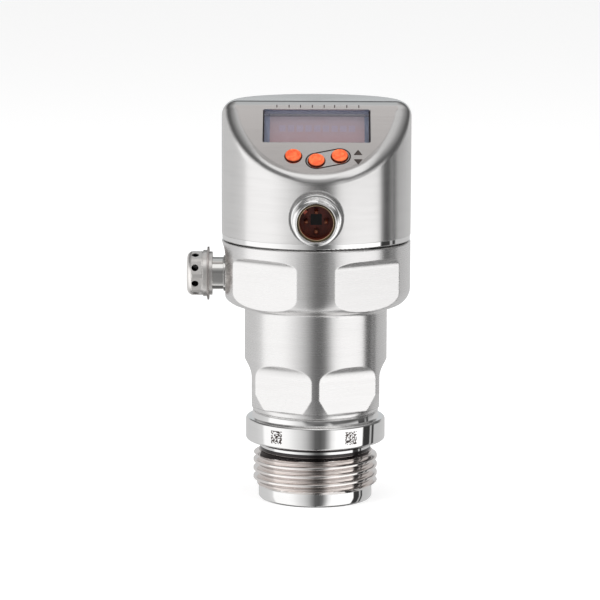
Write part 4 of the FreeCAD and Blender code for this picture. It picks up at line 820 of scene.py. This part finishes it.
def ramp(paint, value, stops):
    """A grey by pieces of straight line, from stops of (place, shade)."""
    made = paint.node("ShaderNodeValToRGB", {0: value})
    made.color_ramp.interpolation = "LINEAR"
    low, high = stops[0][0], stops[-1][0]
    while len(made.color_ramp.elements) < len(stops):
        made.color_ramp.elements.new(0.5)
    for element, (at, shade) in zip(made.color_ramp.elements, stops):
        element.position = (at - low) / (high - low)
        element.color = (shade, shade, shade, 1)
    return made.outputs[0]


def surround_paint():
    """How bright the tent is, by the direction from its middle."""
    paint = Paint("surround_cards", (0.8, 0.8, 0.8), 0.0, 0.9)

    def by_degrees(angle, start, end, at_start=0.0, at_end=1.0):
        return paint.range(angle, math.radians(start), math.radians(end), at_start, at_end)

    x, y, z = paint.split(paint.place)
    above = paint.math("SUBTRACT", z, SURROUND_MIDDLE)
    turn = paint.math("ARCTAN2", x, paint.math("MULTIPLY", y, -1.0))
    side = paint.math("ABSOLUTE", turn)
    high = paint.math("ARCTAN2", above, paint.length(x, y))

    # The cards, with one even card behind, dimmed far below and high up behind
    shade = ramp(paint, paint.range(turn, -math.pi, math.pi, 0.0, 1.0), CARDS)
    back = paint.math("MULTIPLY", by_degrees(side, 160, 172), by_degrees(high, 0, 3))
    shade = paint.mix(back, shade, BACK_CARD)
    lowest = by_degrees(side, 100, 130, LOW_BESIDE, LOW_BEHIND)
    low = by_degrees(high, -55, -36, lowest, 1.0)
    rear = paint.math("MULTIPLY", by_degrees(side, 140, 165),
                      paint.math("MINIMUM", by_degrees(high, 13, 18, 0.0, REAR_DIMMING),
                                 by_degrees(high, 30, 52, REAR_DIMMING, 0.0)))
    dim = paint.math("MULTIPLY", low, paint.math("SUBTRACT", 1.0, rear))
    shade = paint.node("ShaderNodeVectorMath", {0: shade, 3: dim}, operation="SCALE").outputs[0]

    # The shades upwards, over the cards from where their level starts
    away = by_degrees(side, 14, 26, 0.0, SIDE_LIFT)
    right = paint.math("MINIMUM", by_degrees(turn, 16, 34, 0.0, RIGHT_LIFT),
                       by_degrees(turn, 130, 155, RIGHT_LIFT, 0.0))
    degrees = paint.math("MULTIPLY", high, 180 / math.pi)
    level = paint.math("ADD", paint.math("SUBTRACT", degrees, away), right)
    place = paint.range(level, -90.0, 90.0, 0.0, 1.0)
    upper = paint.mix(paint.range(away, 2.0, 12.0, 0.0, 1.0), ramp(paint, place, BEFORE),
                      ramp(paint, place, CORNER))
    far = by_degrees(side, 46, 64)
    upper = paint.mix(far, upper, ramp(paint, place, BESIDE))
    start = paint.math("MINIMUM", paint.range(level, 3.0, 18.0, 0.0, 1.0),
                       by_degrees(side, 176, 150))
    shade = paint.mix(start, shade, upper)

    # The ceiling, warmer than the cards, whose edge comes lower towards the front corners
    ceiling = paint.range(paint.math("DIVIDE", y, above), 0.0, CEILING_SLOPE, CEILING_FRONT,
                          CEILING_BACK)
    warm = paint.node("ShaderNodeMix", {0: CEILING_WARMTH, 6: ceiling, 7: CEILING_TINT},
                      data_type="RGBA", blend_type="MULTIPLY")
    edge = paint.math("MULTIPLY_ADD", paint.math("MULTIPLY", side, CEILING_DROP),
                      paint.math("SUBTRACT", 1.0, far), high)
    shade = paint.mix(by_degrees(edge, 79.5, 83), shade, warm.outputs[2])
    paint.show(paint.node("ShaderNodeEmission", {"Color": shade, "Strength": 1.0}).outputs[0])
    return paint.mat


def make_surround():
    """A light tent with dark cards: only mirrored in the metal, never seen or lighting."""
    steps = SURROUND_STEPS
    turns = [2 * math.pi * i / steps for i in range(steps)]
    points = [(r * math.cos(turn), r * math.sin(turn), z)
              for r, z in SURROUND_OUTLINE for turn in turns]
    faces = [(j * steps + i, j * steps + (i + 1) % steps, (j + 1) * steps + (i + 1) % steps,
              (j + 1) * steps + i) for j in range(len(SURROUND_OUTLINE) - 1)
             for i in range(steps)]
    mesh = bpy.data.meshes.new("surround")
    mesh.from_pydata(points, [], faces)
    obj = stage_object("surround", mesh, surround_paint())
    obj.visible_camera = False
    obj.visible_diffuse = False
    obj.visible_transmission = False
    obj.visible_shadow = False
    obj.visible_volume_scatter = False


def softbox(name, azimuth, elevation, distance=1.1, size=0.8, watts=4.0):
    """A large soft lamp, placed by degrees from the front towards the right."""
    a, e = math.radians(azimuth), math.radians(elevation)
    data = bpy.data.lights.new(name, "AREA")
    data.shape = "RECTANGLE"
    data.size, data.size_y, data.energy = size, size, watts
    lamp = bpy.data.objects.new(name, data)
    scene.collection.objects.link(lamp)
    lamp.location = aim + distance * Vector((math.sin(a) * math.cos(e),
                                             -math.cos(a) * math.cos(e), math.sin(e)))
    lamp.rotation_euler = (aim - lamp.location).to_track_quat("-Z", "Y").to_euler()
    lamp.visible_glossy = False


def make_world(strength=0.80):
    world = bpy.data.worlds.new("studio")
    scene.world = world
    world.use_nodes = True
    background = world.node_tree.nodes["Background"]
    background.inputs["Color"].default_value = (1, 1, 1, 1)
    background.inputs["Strength"].default_value = strength
    world.cycles_visibility.glossy = False


make_floor()
make_surround()
softbox("soft_left", -58, 42)
softbox("soft_right", 52, 40)
make_world()
